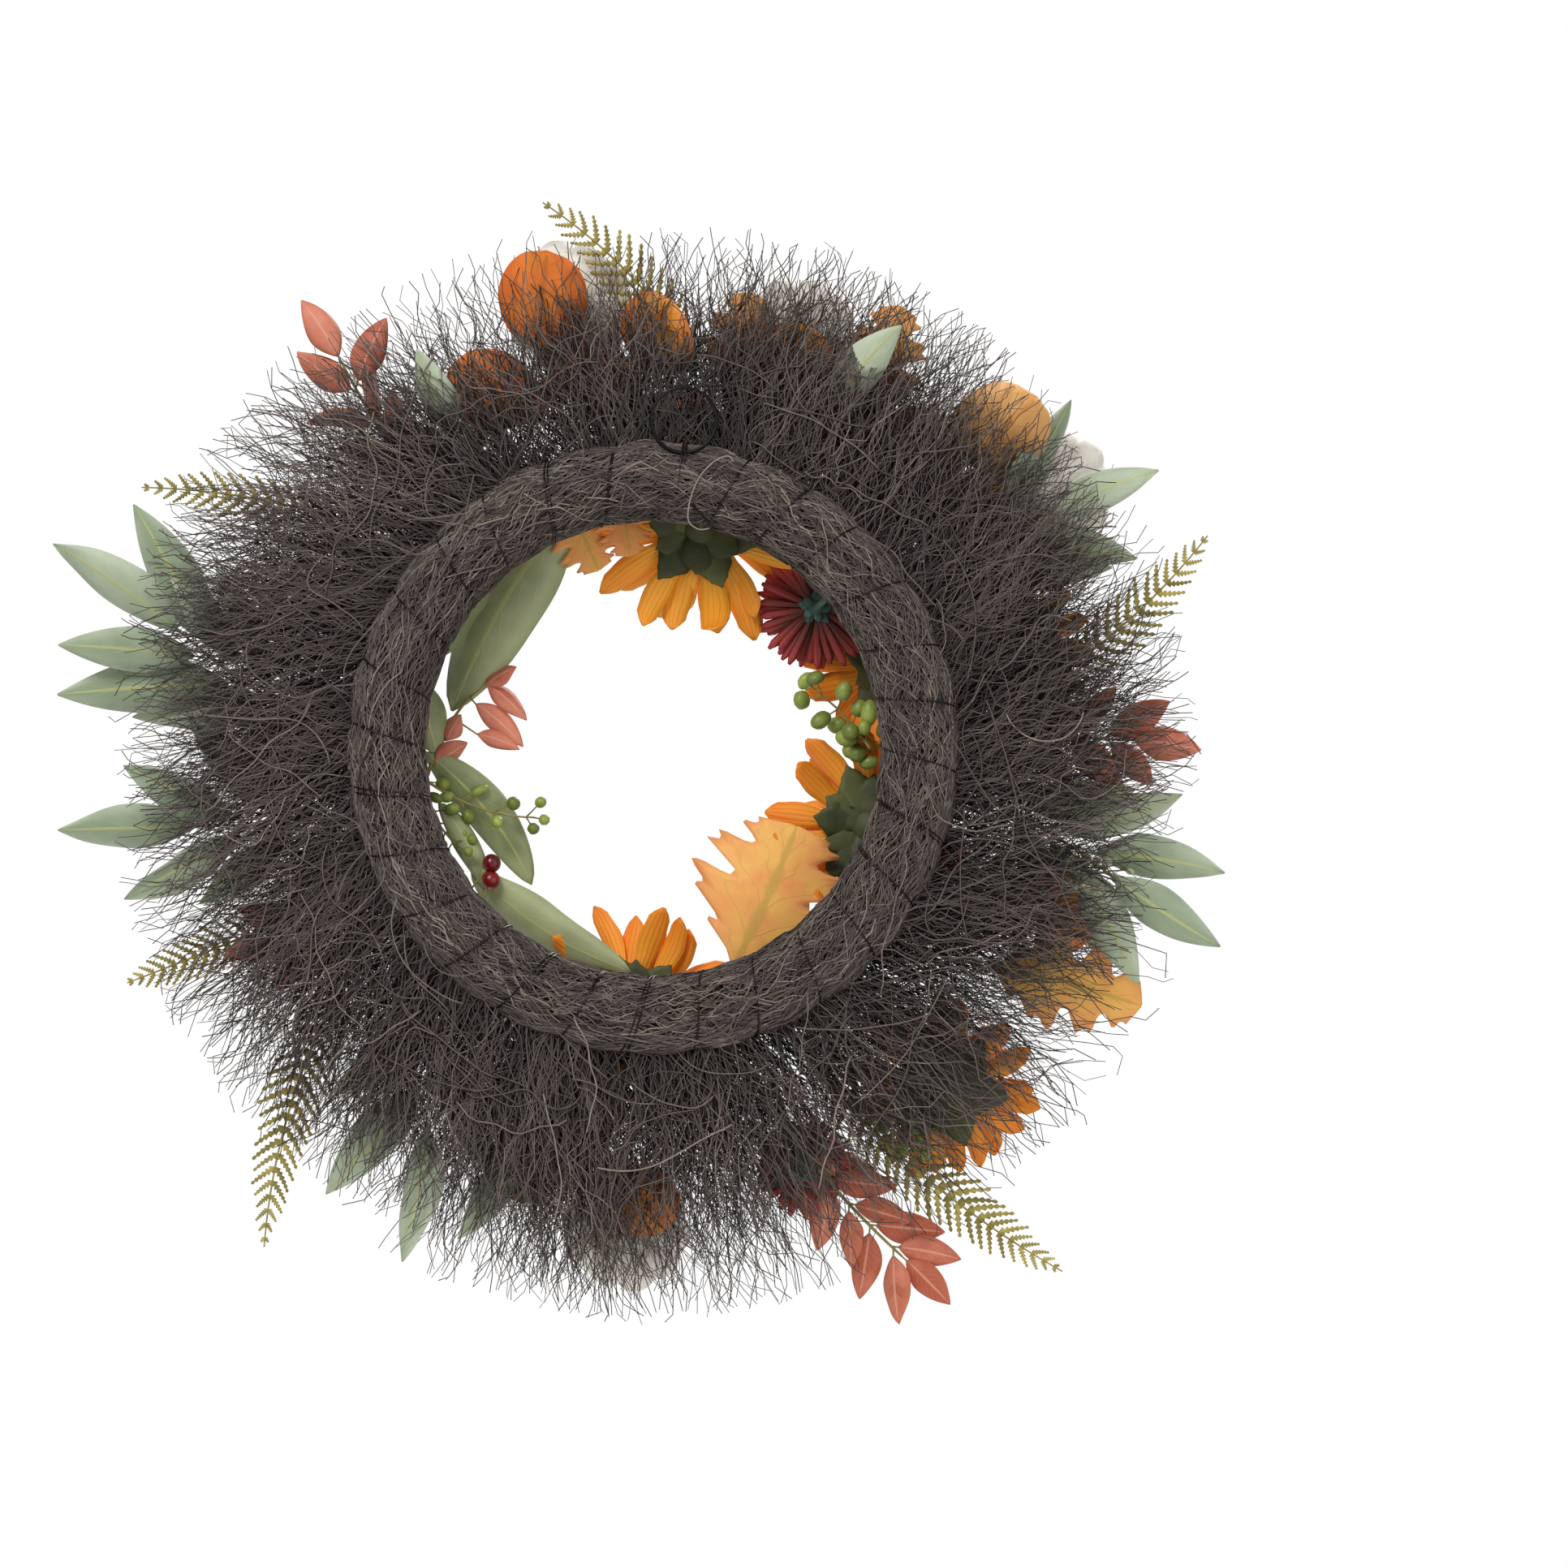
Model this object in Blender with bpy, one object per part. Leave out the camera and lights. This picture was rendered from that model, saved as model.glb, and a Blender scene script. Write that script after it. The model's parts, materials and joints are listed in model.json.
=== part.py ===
"""Harvest door wreath: twig bunches bound with wire round a hoop, dressed on the
front with artificial sunflowers, mums, foam pumpkins, leaves, ferns and berries.

Metres, +Z up. The front of the wreath faces -Y and its back, which lies against
the door, faces +Y. The origin is the point inside the top of the hanging ring
where a door hook bears. Places round the ring are given as an angle, in degrees
anticlockwise as seen from the back, starting at the right-hand side there, and
a distance out from the middle of the bound ring.
"""

import math

import bmesh
import bpy
from mathutils import Matrix, Vector

# The bound ring
RING_OPENING = 0.254
BOUND_THICKNESS = 0.044
TWIG_DIAMETER = 0.5588
BUNCH_COUNT = 14
TURNS_PER_BUNCH = 2
BUNCH_SECTION_SIDES = 8
BUNCH_GAP = 0.0006
STRAY_TWIGS = 0.002
SWELL = 0.0023
SWELL_CORNERS = (1, 2)
WIRE_DIP = (0.10, 0.14, 0.36, 0.40)

# The fan of loose twigs at the outside of each bunch
BUNCH_REACH = (0.004, 0.011, 0.017, 0.009, 0.021, 0.016, 0.033,
               0.032, 0.027, 0.005, 0.017, 0.002, 0.014, 0.009)
FAN_THICKNESS = 0.020
FAN_SETBACK = 0.006
FAN_SWIRL = 10.0
FAN_OPEN_ANGLE = 3.0
FAN_CLOSE_RUN = 0.060
FAN_TIPS = 5
FAN_TIP_DEPTH = 0.026
FAN_SIDE_STEPS = (0, 0.3, 0.6, 0.85)
ROOT_CLEARANCE = 0.002

# Wires
HOOP_WIRE = 0.004
HOOP_CLEARANCE = 0.0005
HOOP_SEGMENTS = 56
BINDING_WIRE = 0.0011
BINDING_CLEARANCE = 0.0009
TIE_WIRE = 0.0010
HANGER_LOOP = 0.0375
HANGER_WIRE = 0.0012
HANGER_COIL_PITCH = 0.0015
HANGER_ANGLE = 84.0
HANGER_POINTS_PER_TURN = 24
TIE_PITCH = 0.0016
TIE_POINTS_PER_TURN = 16
WIRE_GAP = 0.0003

# Layers of trimming, as distances forward from the middle of the bound ring
LAYER_STEP = 0.003
LEAF_THICKNESS = 0.002
TRIM_GAP = 0.0008
STALK_SHARE = 0.2

# Sunflowers: angle, place in or out of the ring's centre line, head radius, lift off the ring
SUNFLOWERS = (
    (78.0, -0.022, 0.070, 0.009),
    (19.1, -0.002, 0.060, 0.036),
    (340.0, -0.020, 0.060, 0.009),
    (265.0, 0.000, 0.065, 0.009),
    (15.3, 0.061, 0.046, 0.002),
    (310.7, 0.100, 0.054, 0.002),
)
PETAL_COUNT = 14
PETAL_THICKNESS = 0.003
PETAL_VALLEY = 0.62
SEED_RADIUS = 0.020
SEED_HEIGHT = 0.009
CALYX_RADIUS = 0.030
CALYX_HEIGHT = 0.007
STALK_RADIUS = 0.003

# Mums: angle, place in or out of the ring's centre line, radius, lift off the ring
MUMS = ((41.0, -0.028, 0.036, 0.0285), (289.7, 0.099, 0.028, 0.0))
MUM_HEIGHT = 0.013
MUM_RAYS = 9

# Foam pumpkins: angle, place out from the ring's centre line, radius
PUMPKINS = (
    (100.8, 0.104, 0.036),
    (70.8, 0.091, 0.037),
    (33.0, 0.117, 0.034),
    (266.7, 0.119, 0.036),
)
PUMPKIN_SQUASH = 0.78
PUMPKIN_RIBS = 8
PUMPKIN_RIB_DEPTH = 0.10
PUMPKIN_DIMPLE = 0.22
DIMPLE_WIDTH = 0.35
DIMPLE_AT_STEM = 0.8
STEM_LENGTH = 0.022
STEM_RADIUS = 0.005

# Values that follow from the ones above
RING_RADIUS = (RING_OPENING + BOUND_THICKNESS) / 2 - STRAY_TWIGS
SECTION_RADIUS = BOUND_THICKNESS / 2
SECTION_FLAT = SECTION_RADIUS * math.cos(math.pi / BUNCH_SECTION_SIDES)
BUNCH_ANGLE = 360.0 / BUNCH_COUNT
TURN_ANGLE = BUNCH_ANGLE / TURNS_PER_BUNCH
BINDING_RADIUS = SECTION_RADIUS + BINDING_CLEARANCE + BINDING_WIRE / 2
BOUND_EDGE = RING_RADIUS + BINDING_RADIUS + BINDING_WIRE
HANGER_TURN_RADIUS = (HANGER_LOOP - HANGER_WIRE) / 2
HINGE_SWEEP = (HANGER_COIL_PITCH + HANGER_WIRE) / 2
HINGE_OFFSET = SECTION_FLAT + WIRE_GAP + HINGE_SWEEP
HINGE_RADIUS = RING_RADIUS + HINGE_OFFSET * math.cos(math.radians(45))
HINGE_Z = -(2 * HANGER_TURN_RADIUS - HANGER_WIRE / 2)
RING_X = HINGE_RADIUS * math.cos(math.radians(HANGER_ANGLE))
RING_Y = -HINGE_OFFSET * math.sin(math.radians(45))
RING_Z = HINGE_Z - HINGE_RADIUS * math.sin(math.radians(HANGER_ANGLE))
FAN_MIDDLE = FAN_SETBACK
FAN_FRONT = FAN_MIDDLE + FAN_THICKNESS / 2
OUTER_LAYER = FAN_FRONT + TRIM_GAP + LEAF_THICKNESS / 2
INNER_LAYER = BINDING_RADIUS + BINDING_WIRE / 2 + TRIM_GAP + LEAF_THICKNESS / 2
BLOOM_BACK = OUTER_LAYER + 3 * LAYER_STEP
FLOWER_BACK = INNER_LAYER + 2 * LAYER_STEP + LEAF_THICKNESS / 2

COLOURS = {
    "twig": ((0.17, 0.12, 0.10), 0.85, 0.0),
    "wire": ((0.03, 0.03, 0.03), 0.45, 1.0),
    "sunflower_petal": ((0.90, 0.48, 0.06), 0.75, 0.0),
    "seed_head": ((0.12, 0.06, 0.03), 0.9, 0.0),
    "calyx": ((0.12, 0.20, 0.09), 0.7, 0.0),
    "mum_petal": ((0.32, 0.04, 0.09), 0.8, 0.0),
    "pumpkin": ((0.86, 0.84, 0.80), 0.8, 0.0),
    "pumpkin_stem": ((0.40, 0.30, 0.18), 0.85, 0.0),
    "oak_leaf": ((0.80, 0.36, 0.10), 0.75, 0.0),
    "round_leaf": ((0.85, 0.42, 0.14), 0.6, 0.0),
    "magnolia_leaf": ((0.16, 0.27, 0.16), 0.6, 0.0),
    "sage_leaf": ((0.42, 0.48, 0.34), 0.7, 0.0),
    "rust_leaf": ((0.48, 0.17, 0.08), 0.75, 0.0),
    "fern": ((0.42, 0.37, 0.13), 0.75, 0.0),
    "berry": ((0.34, 0.46, 0.18), 0.45, 0.0),
}


def clear_scene():
    for obj in list(bpy.data.objects):
        bpy.data.objects.remove(obj, do_unlink=True)


def new_collection(name):
    collection = bpy.data.collections.new(name)
    bpy.context.scene.collection.children.link(collection)
    return collection


def material(name):
    """The named finish, made the first time it is asked for."""
    found = bpy.data.materials.get(name)
    if found:
        return found
    colour, roughness, metallic = COLOURS[name]
    made = bpy.data.materials.new(name)
    made.use_nodes = True
    shader = made.node_tree.nodes["Principled BSDF"]
    shader.inputs["Base Color"].default_value = (*colour, 1.0)
    shader.inputs["Roughness"].default_value = roughness
    shader.inputs["Metallic"].default_value = metallic
    made.diffuse_color = (*colour, 1.0)
    return made


def add_part(name, data, finish, location=(0, 0, 0)):
    obj = bpy.data.objects.new(name, data)
    obj.location = location
    data.materials.clear()
    data.materials.append(material(finish))
    PARTS.objects.link(obj)
    return obj


def add_cutter(name, data, location=(0, 0, 0)):
    obj = bpy.data.objects.new(name, data)
    obj.location = location
    obj.hide_render = True
    obj.display_type = "WIRE"
    CUTTERS.objects.link(obj)
    return obj


def flat_place(angle, radius):
    """(x, z) of a place round the ring."""
    turn = math.radians(angle)
    return (RING_X - radius * math.cos(turn), RING_Z + radius * math.sin(turn))


def ring_place(angle, radius, forward=0.0):
    """A place round the ring, moved towards the front."""
    x, z = flat_place(angle, radius)
    return Vector((x, RING_Y - forward, z))


def mesh_from_bmesh(name, built):
    mesh = bpy.data.meshes.new(name)
    bmesh.ops.recalc_face_normals(built, faces=built.faces)
    if built.calc_volume(signed=True) < 0:
        bmesh.ops.reverse_faces(built, faces=built.faces)
    built.to_mesh(mesh)
    built.free()
    return mesh


def shade_round(obj, sharp_angle=40.0):
    obj.data.shade_smooth()
    obj.data.set_sharp_from_angle(angle=math.radians(sharp_angle))


def boolean(obj, other, operation):
    modifier = obj.modifiers.new(other.name, "BOOLEAN")
    modifier.operation = operation
    modifier.object = other


def curve_data(name, points, dimensions, cyclic):
    curve = bpy.data.curves.new(name, "CURVE")
    curve.dimensions = dimensions
    spline = curve.splines.new("POLY")
    spline.points.add(len(points) - 1)
    for place, point in zip(spline.points, points):
        place.co = (*point, 1.0)
    spline.use_cyclic_u = cyclic
    return curve


def wire_curve(name, points, diameter):
    """A round wire through these points, with closed ends."""
    curve = curve_data(name, points, "3D", False)
    curve.bevel_depth = diameter / 2
    curve.bevel_resolution = 2
    curve.use_fill_caps = True
    return curve


def plate_mesh(name, outline, thickness):
    """A flat sheet of this outline of (x, z) points, lying in the XZ plane about y = 0."""
    curve = curve_data(name, [(x, z, 0.0) for x, z in outline], "2D", True)
    curve.fill_mode = "BOTH"
    curve.extrude = thickness / 2
    helper = bpy.data.objects.new(name, curve)
    bpy.context.scene.collection.objects.link(helper)
    graph = bpy.context.evaluated_depsgraph_get()
    mesh = bpy.data.meshes.new_from_object(helper.evaluated_get(graph))
    bpy.data.objects.remove(helper)
    built = bmesh.new()
    built.from_mesh(mesh)
    bpy.data.meshes.remove(mesh)
    bmesh.ops.remove_doubles(built, verts=built.verts, dist=1e-6)
    upright = Matrix.Rotation(math.pi / 2, 4, "X")
    bmesh.ops.transform(built, matrix=upright, verts=built.verts)
    return mesh_from_bmesh(name, built)


def turned_mesh(name, profile, sides):
    """A turned solid: a profile of (radius, forward) points from back to front, spun about Y.

    The first and last points lie on the axis."""
    built = bmesh.new()
    chain = [built.verts.new((radius, -forward, 0.0)) for radius, forward in profile]
    edges = [built.edges.new(pair) for pair in zip(chain, chain[1:])]
    bmesh.ops.spin(built, geom=chain + edges, cent=(0, 0, 0), axis=(0, 1, 0),
                   angle=2 * math.pi, steps=sides)
    bmesh.ops.remove_doubles(built, verts=built.verts, dist=1e-6)
    return mesh_from_bmesh(name, built)


# The hoop, the bound twig bunches and the wires


def make_hoop():
    bpy.ops.mesh.primitive_torus_add(
        major_segments=HOOP_SEGMENTS, minor_segments=8, major_radius=RING_RADIUS,
        minor_radius=HOOP_WIRE / 2, location=ring_place(0, 0), rotation=(math.pi / 2, 0, 0))
    hoop = bpy.context.object
    hoop.name = "wire_hoop"
    hoop.data.name = "wire_hoop"
    hoop.data.materials.append(material("wire"))
    bpy.context.collection.objects.unlink(hoop)
    PARTS.objects.link(hoop)
    shade_round(hoop)


def make_hoop_cutter():
    """The channel that the hoop runs in, as one cutter for all the bunches."""
    bpy.ops.mesh.primitive_torus_add(
        major_segments=HOOP_SEGMENTS, minor_segments=8, major_radius=RING_RADIUS,
        minor_radius=HOOP_WIRE / 2 + HOOP_CLEARANCE, location=ring_place(0, 0),
        rotation=(math.pi / 2, 0, 0))
    cutter = bpy.context.object
    cutter.name = "hoop_channel"
    cutter.hide_render = True
    cutter.display_type = "WIRE"
    bpy.context.collection.objects.unlink(cutter)
    CUTTERS.objects.link(cutter)
    return cutter


def section_place(ring_angle, tube_angle, radius):
    """A place round the bound ring's section: tube angle 0 is outwards and 90 is to the back."""
    turn = math.radians(tube_angle)
    out = RING_RADIUS + radius * math.cos(turn)
    return ring_place(ring_angle, out, -radius * math.sin(turn))


def sleeve_stations(index):
    """Where the bar of one bunch changes along the ring, as (turns of wire, share of the swell).

    The binding wire crosses the back a quarter of the way through each turn, and the
    stems swell between one crossing and the next. They stay flat under the tie wire."""
    gap = BUNCH_GAP / 2 / (RING_RADIUS - SECTION_RADIUS) / math.radians(TURN_ANGLE)
    first, last = index == 0, index == BUNCH_COUNT - 1
    stations = [(gap, 0 if first else 1)]
    for turn in range(TURNS_PER_BUNCH):
        before = 0 if first and turn == 0 else 1
        stations += [(turn + place, swell) for place, swell in zip(WIRE_DIP, (before, 0, 0, 1))]
    if last:
        stations += [(TURNS_PER_BUNCH - WIRE_DIP[1], 1), (TURNS_PER_BUNCH - WIRE_DIP[0], 0)]
    stations.append((TURNS_PER_BUNCH - gap, 0 if last else 1))
    return stations


def sleeve_mesh(name, index):
    """The bound stems of one bunch: an eight-sided bar lofted along its share of the ring."""
    step = 360.0 / BUNCH_SECTION_SIDES
    built = bmesh.new()
    sections = []
    for turns, swell in sleeve_stations(index):
        angle = HANGER_ANGLE + index * BUNCH_ANGLE + turns * TURN_ANGLE
        section = []
        for corner in range(BUNCH_SECTION_SIDES):
            place = section_place(angle, (corner + 0.5) * step, SECTION_RADIUS)
            if corner in SWELL_CORNERS:
                place.y += SWELL * swell
            section.append(built.verts.new(place))
        sections.append(section)
    for here, there in zip(sections, sections[1:]):
        for corner in range(BUNCH_SECTION_SIDES):
            after = (corner + 1) % BUNCH_SECTION_SIDES
            built.faces.new((here[corner], here[after], there[after], there[corner]))
    built.faces.new(sections[0])
    built.faces.new(sections[-1])
    return mesh_from_bmesh(name, built)


def fan_outline(start_angle, reach):
    """The outline of the loose twigs of one bunch.

    Two roots leave the bound stems between the turns of the binding wire. The fan
    then widens until it meets its neighbours, leans round the ring with distance,
    and ends in a zigzag of tips."""
    root = RING_RADIUS + HOOP_WIRE + ROOT_CLEARANCE
    neck = BOUND_EDGE + ROOT_CLEARANCE
    margin = FAN_OPEN_ANGLE
    half = TURN_ANGLE

    def swirl(radius):
        return FAN_SWIRL * max(0.0, radius - neck) / (TWIG_DIAMETER / 2 - neck)

    def edge(radius, side):
        opening = margin * max(0.0, 1 - (radius - neck) / FAN_CLOSE_RUN)
        inset = opening + math.degrees(BUNCH_GAP / radius)
        at = inset if side < 0 else BUNCH_ANGLE - inset
        return start_angle + at + swirl(radius)

    def tip(index):
        share = index / (2 * FAN_TIPS)
        radius = reach - (FAN_TIP_DEPTH if index % 2 == 0 else 0.0)
        low, high = edge(radius, -1), edge(radius, 1)
        return (low + (high - low) * share, radius)

    sides = [neck + (reach - FAN_TIP_DEPTH - neck) * share for share in FAN_SIDE_STEPS]
    places = [(start_angle + margin, root)]
    places += [(edge(radius, -1), radius) for radius in sides]
    places += [tip(index) for index in range(2 * FAN_TIPS + 1)]
    places += [(edge(radius, 1), radius) for radius in reversed(sides)]
    places += [
        (start_angle + BUNCH_ANGLE - margin, root),
        (start_angle + half + margin, root),
        (start_angle + half + margin, neck),
        (start_angle + half - margin, neck),
        (start_angle + half - margin, root),
    ]
    return [flat_place(angle, radius) for angle, radius in places]


def make_bunches():
    channel = make_hoop_cutter()
    for index in range(BUNCH_COUNT):
        name = f"twig_bunch_{index + 1:02d}"
        start = HANGER_ANGLE + index * BUNCH_ANGLE
        reach = TWIG_DIAMETER / 2 + BUNCH_REACH[index % len(BUNCH_REACH)]
        bunch = add_part(name, sleeve_mesh(name, index), "twig")
        fan = add_cutter(f"{name}_fan", plate_mesh(name, fan_outline(start, reach), FAN_THICKNESS),
                         location=(0, RING_Y - FAN_MIDDLE, 0))
        boolean(bunch, fan, "UNION")
        boolean(bunch, channel, "DIFFERENCE")


def make_binding_wire():
    """One wire that runs round and round the bound ring, from one side of the hanger to the other."""
    turns = BUNCH_COUNT * TURNS_PER_BUNCH
    start, end = 0.5625, turns - 0.5625
    count = int(round((end - start) * BUNCH_SECTION_SIDES))
    points = []
    for index in range(count + 1):
        turn = start + index / BUNCH_SECTION_SIDES
        points.append(section_place(HANGER_ANGLE + TURN_ANGLE * turn, 360.0 * turn, BINDING_RADIUS))
    add_part("binding_wire", wire_curve("binding_wire", points, BINDING_WIRE), "wire")


def make_tie_wire():
    """Two turns of wire round the bound ring and the foot of the hanging ring."""
    over_hanger = HINGE_OFFSET + HINGE_SWEEP + 3 * WIRE_GAP + TIE_WIRE / 2
    round_ring = SECTION_RADIUS + BINDING_CLEARANCE + TIE_WIRE / 2
    start, end = 0.5625, 2.4375
    count = int(round((end - start) * TIE_POINTS_PER_TURN))
    points = []
    for index in range(count + 1):
        turn = start + index / TIE_POINTS_PER_TURN
        tube_angle = 360.0 * turn
        near_hanger = max(0.0, math.cos(math.radians(tube_angle - 45.0))) ** 24
        radius = round_ring + (over_hanger - round_ring) * near_hanger
        along = TIE_PITCH * (turn - (start + end) / 2)
        angle = HANGER_ANGLE + math.degrees(along / RING_RADIUS)
        points.append(section_place(angle, tube_angle, radius))
    add_part("hanger_tie_wire", wire_curve("hanger_tie_wire", points, TIE_WIRE), "wire")


def make_hanger_ring():
    """Two turns of wire, hinged at the foot, where the tie wire holds it."""
    hinge = bpy.data.objects.new("hanger_hinge", None)
    hinge.location = (0, 0, HINGE_Z)
    PARTS.objects.link(hinge)
    turns = 2
    points = []
    for index in range(turns * HANGER_POINTS_PER_TURN + 1):
        turn = index / HANGER_POINTS_PER_TURN
        angle = 2 * math.pi * turn
        points.append((HANGER_TURN_RADIUS * math.sin(angle),
                       HANGER_COIL_PITCH * (turn - turns / 2) / 2,
                       HANGER_TURN_RADIUS * (1 + math.cos(angle))))
    ring = add_part("hanger_ring", wire_curve("hanger_ring", points, HANGER_WIRE), "wire")
    ring.parent = hinge


# Flowers


def petal_outline(radius):
    """A ring of pointed petals: out to a shoulder, on to the tip, and back to the next valley."""
    outline = []
    step = 2 * math.pi / PETAL_COUNT
    for petal in range(PETAL_COUNT):
        for share, reach in ((0.0, PETAL_VALLEY), (0.22, 0.88), (0.5, 1.0), (0.78, 0.88)):
            angle = (petal + share) * step
            outline.append((radius * reach * math.cos(angle), radius * reach * math.sin(angle)))
    return outline


def make_sunflowers():
    calyx = turned_mesh("sunflower_calyx", (
        (0, -0.5 * CALYX_HEIGHT), (STALK_RADIUS, -0.5 * CALYX_HEIGHT), (STALK_RADIUS, 0),
        (0.7 * CALYX_RADIUS, 0.35 * CALYX_HEIGHT), (CALYX_RADIUS, CALYX_HEIGHT),
        (0, CALYX_HEIGHT)), 10)
    seed = turned_mesh("sunflower_seed_head", (
        (0, 0), (0.85 * SEED_RADIUS, 0), (SEED_RADIUS, 0.35 * SEED_HEIGHT),
        (0.75 * SEED_RADIUS, 0.85 * SEED_HEIGHT), (0, SEED_HEIGHT)), 14)
    for number, (angle, out, radius, lift) in enumerate(SUNFLOWERS, 1):
        on_ring = out < BOUND_THICKNESS
        back = (FLOWER_BACK if on_ring else BLOOM_BACK) + lift
        petals_at = back + CALYX_HEIGHT + WIRE_GAP + PETAL_THICKNESS / 2
        seed_at = petals_at + PETAL_THICKNESS / 2 + WIRE_GAP
        place = RING_RADIUS + out
        add_part(f"sunflower_calyx_{number}", calyx, "calyx", ring_place(angle, place, back))
        petals = plate_mesh("sunflower_petals", petal_outline(radius), PETAL_THICKNESS)
        add_part(f"sunflower_petals_{number}", petals, "sunflower_petal",
                 ring_place(angle, place, petals_at))
        add_part(f"sunflower_seed_head_{number}", seed, "seed_head",
                 ring_place(angle, place, seed_at))


def make_mums():
    """Low domed blooms with a scalloped edge."""
    for number, (angle, out, radius, lift) in enumerate(MUMS, 1):
        built = bmesh.new()
        bmesh.ops.create_uvsphere(built, u_segments=2 * MUM_RAYS, v_segments=8, radius=1.0)
        for vert in built.verts:
            turn = math.atan2(vert.co.y, vert.co.x)
            scallop = 1 + 0.10 * math.cos(MUM_RAYS * turn)
            wide = radius * scallop / 1.10
            vert.co = (vert.co.x * wide, -vert.co.z * MUM_HEIGHT / 2, vert.co.y * wide)
        on_ring = out < BOUND_THICKNESS
        back = (INNER_LAYER - LEAF_THICKNESS / 2) if on_ring else BLOOM_BACK
        mum = add_part(f"mum_{number}", mesh_from_bmesh("mum", built), "mum_petal",
                       ring_place(angle, RING_RADIUS + out, back + lift + MUM_HEIGHT / 2))
        shade_round(mum)


def pumpkin_mesh(radius):
    """A squashed ball with ribs, dimpled where the stem stands."""
    built = bmesh.new()
    bmesh.ops.create_uvsphere(built, u_segments=2 * PUMPKIN_RIBS, v_segments=8, radius=1.0)
    for vert in built.verts:
        turn = math.atan2(vert.co.y, vert.co.x)
        rib = 1 - PUMPKIN_RIB_DEPTH * (0.5 - 0.5 * math.cos(PUMPKIN_RIBS * turn))
        wide = math.hypot(vert.co.x, vert.co.y)
        dimple = 1 - PUMPKIN_DIMPLE * math.exp(-((wide / DIMPLE_WIDTH) ** 2))
        vert.co = (vert.co.x * radius * rib, -vert.co.z * radius * PUMPKIN_SQUASH * dimple,
                   vert.co.y * radius * rib)
    return mesh_from_bmesh("pumpkin", built)


def stem_mesh():
    """A short stem that narrows upwards and ends in a wider cut."""
    radius, length = STEM_RADIUS, STEM_LENGTH
    return turned_mesh("pumpkin_stem", (
        (0, 0), (radius, 0), (0.55 * radius, 0.4 * length), (0.5 * radius, 0.85 * length),
        (0.7 * radius, length), (0, length)), 8)


def make_pumpkins():
    for number, (angle, out, radius) in enumerate(PUMPKINS, 1):
        half_depth = radius * PUMPKIN_SQUASH
        middle = BLOOM_BACK + half_depth
        crown = middle + half_depth * (1 - PUMPKIN_DIMPLE * DIMPLE_AT_STEM) + WIRE_GAP
        place = RING_RADIUS + out
        pumpkin = add_part(f"pumpkin_{number}", pumpkin_mesh(radius), "pumpkin",
                           ring_place(angle, place, middle))
        shade_round(pumpkin, 60)
        add_part(f"pumpkin_stem_{number}", stem_mesh(), "pumpkin_stem",
                 ring_place(angle, place, crown))


# Leaves: each sprig is one sheet, cut round its stem and blades


def stem_path(base, tip, steps=24):
    """Places from base to tip, each an (angle, radius), with both changing evenly."""
    return [
        Vector(flat_place(base[0] + (tip[0] - base[0]) * i / steps,
                          base[1] + (tip[1] - base[1]) * i / steps))
        for i in range(steps + 1)
    ]


def turned(vector, degrees):
    turn = math.radians(degrees)
    return Vector((vector.x * math.cos(turn) - vector.y * math.sin(turn),
                   vector.x * math.sin(turn) + vector.y * math.cos(turn)))


def blade(foot, direction, length, width, roundness, side, neck):
    """One leaf's edge points: up its stalk, round the blade to the tip and back."""
    across = turned(direction, 90 * side)
    root = foot + direction * length * STALK_SHARE
    reach = direction * length * (1 - STALK_SHARE)
    shares = (0.2, 0.5, 0.8)
    widths = [math.sin(math.pi * share ** 0.9) ** roundness * width / 2 for share in shares]
    lower = [root + across * neck] + [root + reach * s + across * w for s, w in zip(shares, widths)]
    upper = [root - across * neck] + [root + reach * s - across * w for s, w in zip(shares, widths)]
    return lower + [root + reach] + upper[::-1]


def sprig_outline(base, tip, pairs, length, width, spread, taper=0.0, roundness=0.8, stem=0.0024):
    """The outline of a stem with pairs of blades and one blade at its end.

    A blade's length and width are shares of the stem's length, so that the blades of
    a shorter stem stay clear of each other."""
    path = stem_path(base, tip)
    last = len(path) - 1
    stem_length = sum((there - here).length for here, there in zip(path, path[1:]))
    length, width = length * stem_length, width * stem_length
    half = stem / 2

    def station(share):
        index = min(last - 1, int(share * last))
        along = (path[index + 1] - path[index]).normalized()
        place = path[index].lerp(path[index + 1], share * last - index)
        return place, along, turned(along, 90)

    def side_points(side):
        place, along, left = station(0)
        points = [place + left * half * side]
        for pair in range(pairs):
            share = (pair + 0.5) / (pairs + 0.35)
            place, along, left = station(share)
            size = 1 - taper * share
            foot = place + left * half * side
            out = turned(along, spread * side)
            points.append(foot - along * half)
            points += blade(foot, out, length * size, width * size, roundness, side, half)
            points.append(foot + along * half)
        return points

    place, along, left = station(1.0)
    end_size = 1 - taper
    crown = blade(place, along, length * end_size, width * end_size, roundness, 1, half)
    return side_points(1) + crown + side_points(-1)[::-1]


def oak_outline(base, tip, width, lobes=3):
    """A leaf whose half width rises and falls along its length, with rounded lobes."""
    foot, point = Vector(flat_place(*base)), Vector(flat_place(*tip))
    along = point - foot
    across = turned(along.normalized(), 90)
    steps = 4 * lobes
    edge = []
    for index in range(1, steps):
        share = index / steps
        lobe = 0.72 + 0.28 * math.cos(2 * math.pi * lobes * share + math.pi)
        edge.append((share, width / 2 * lobe * math.sin(math.pi * share ** 0.8) ** 0.6))
    left = [foot + along * s + across * w for s, w in edge]
    right = [foot + along * s - across * w for s, w in edge]
    return [foot] + left + [point] + right[::-1]


def add_sheet(name, outline, finish, layer, thickness=LEAF_THICKNESS):
    add_part(name, plate_mesh(name, outline, thickness), finish, (0, RING_Y - layer, 0))


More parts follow.
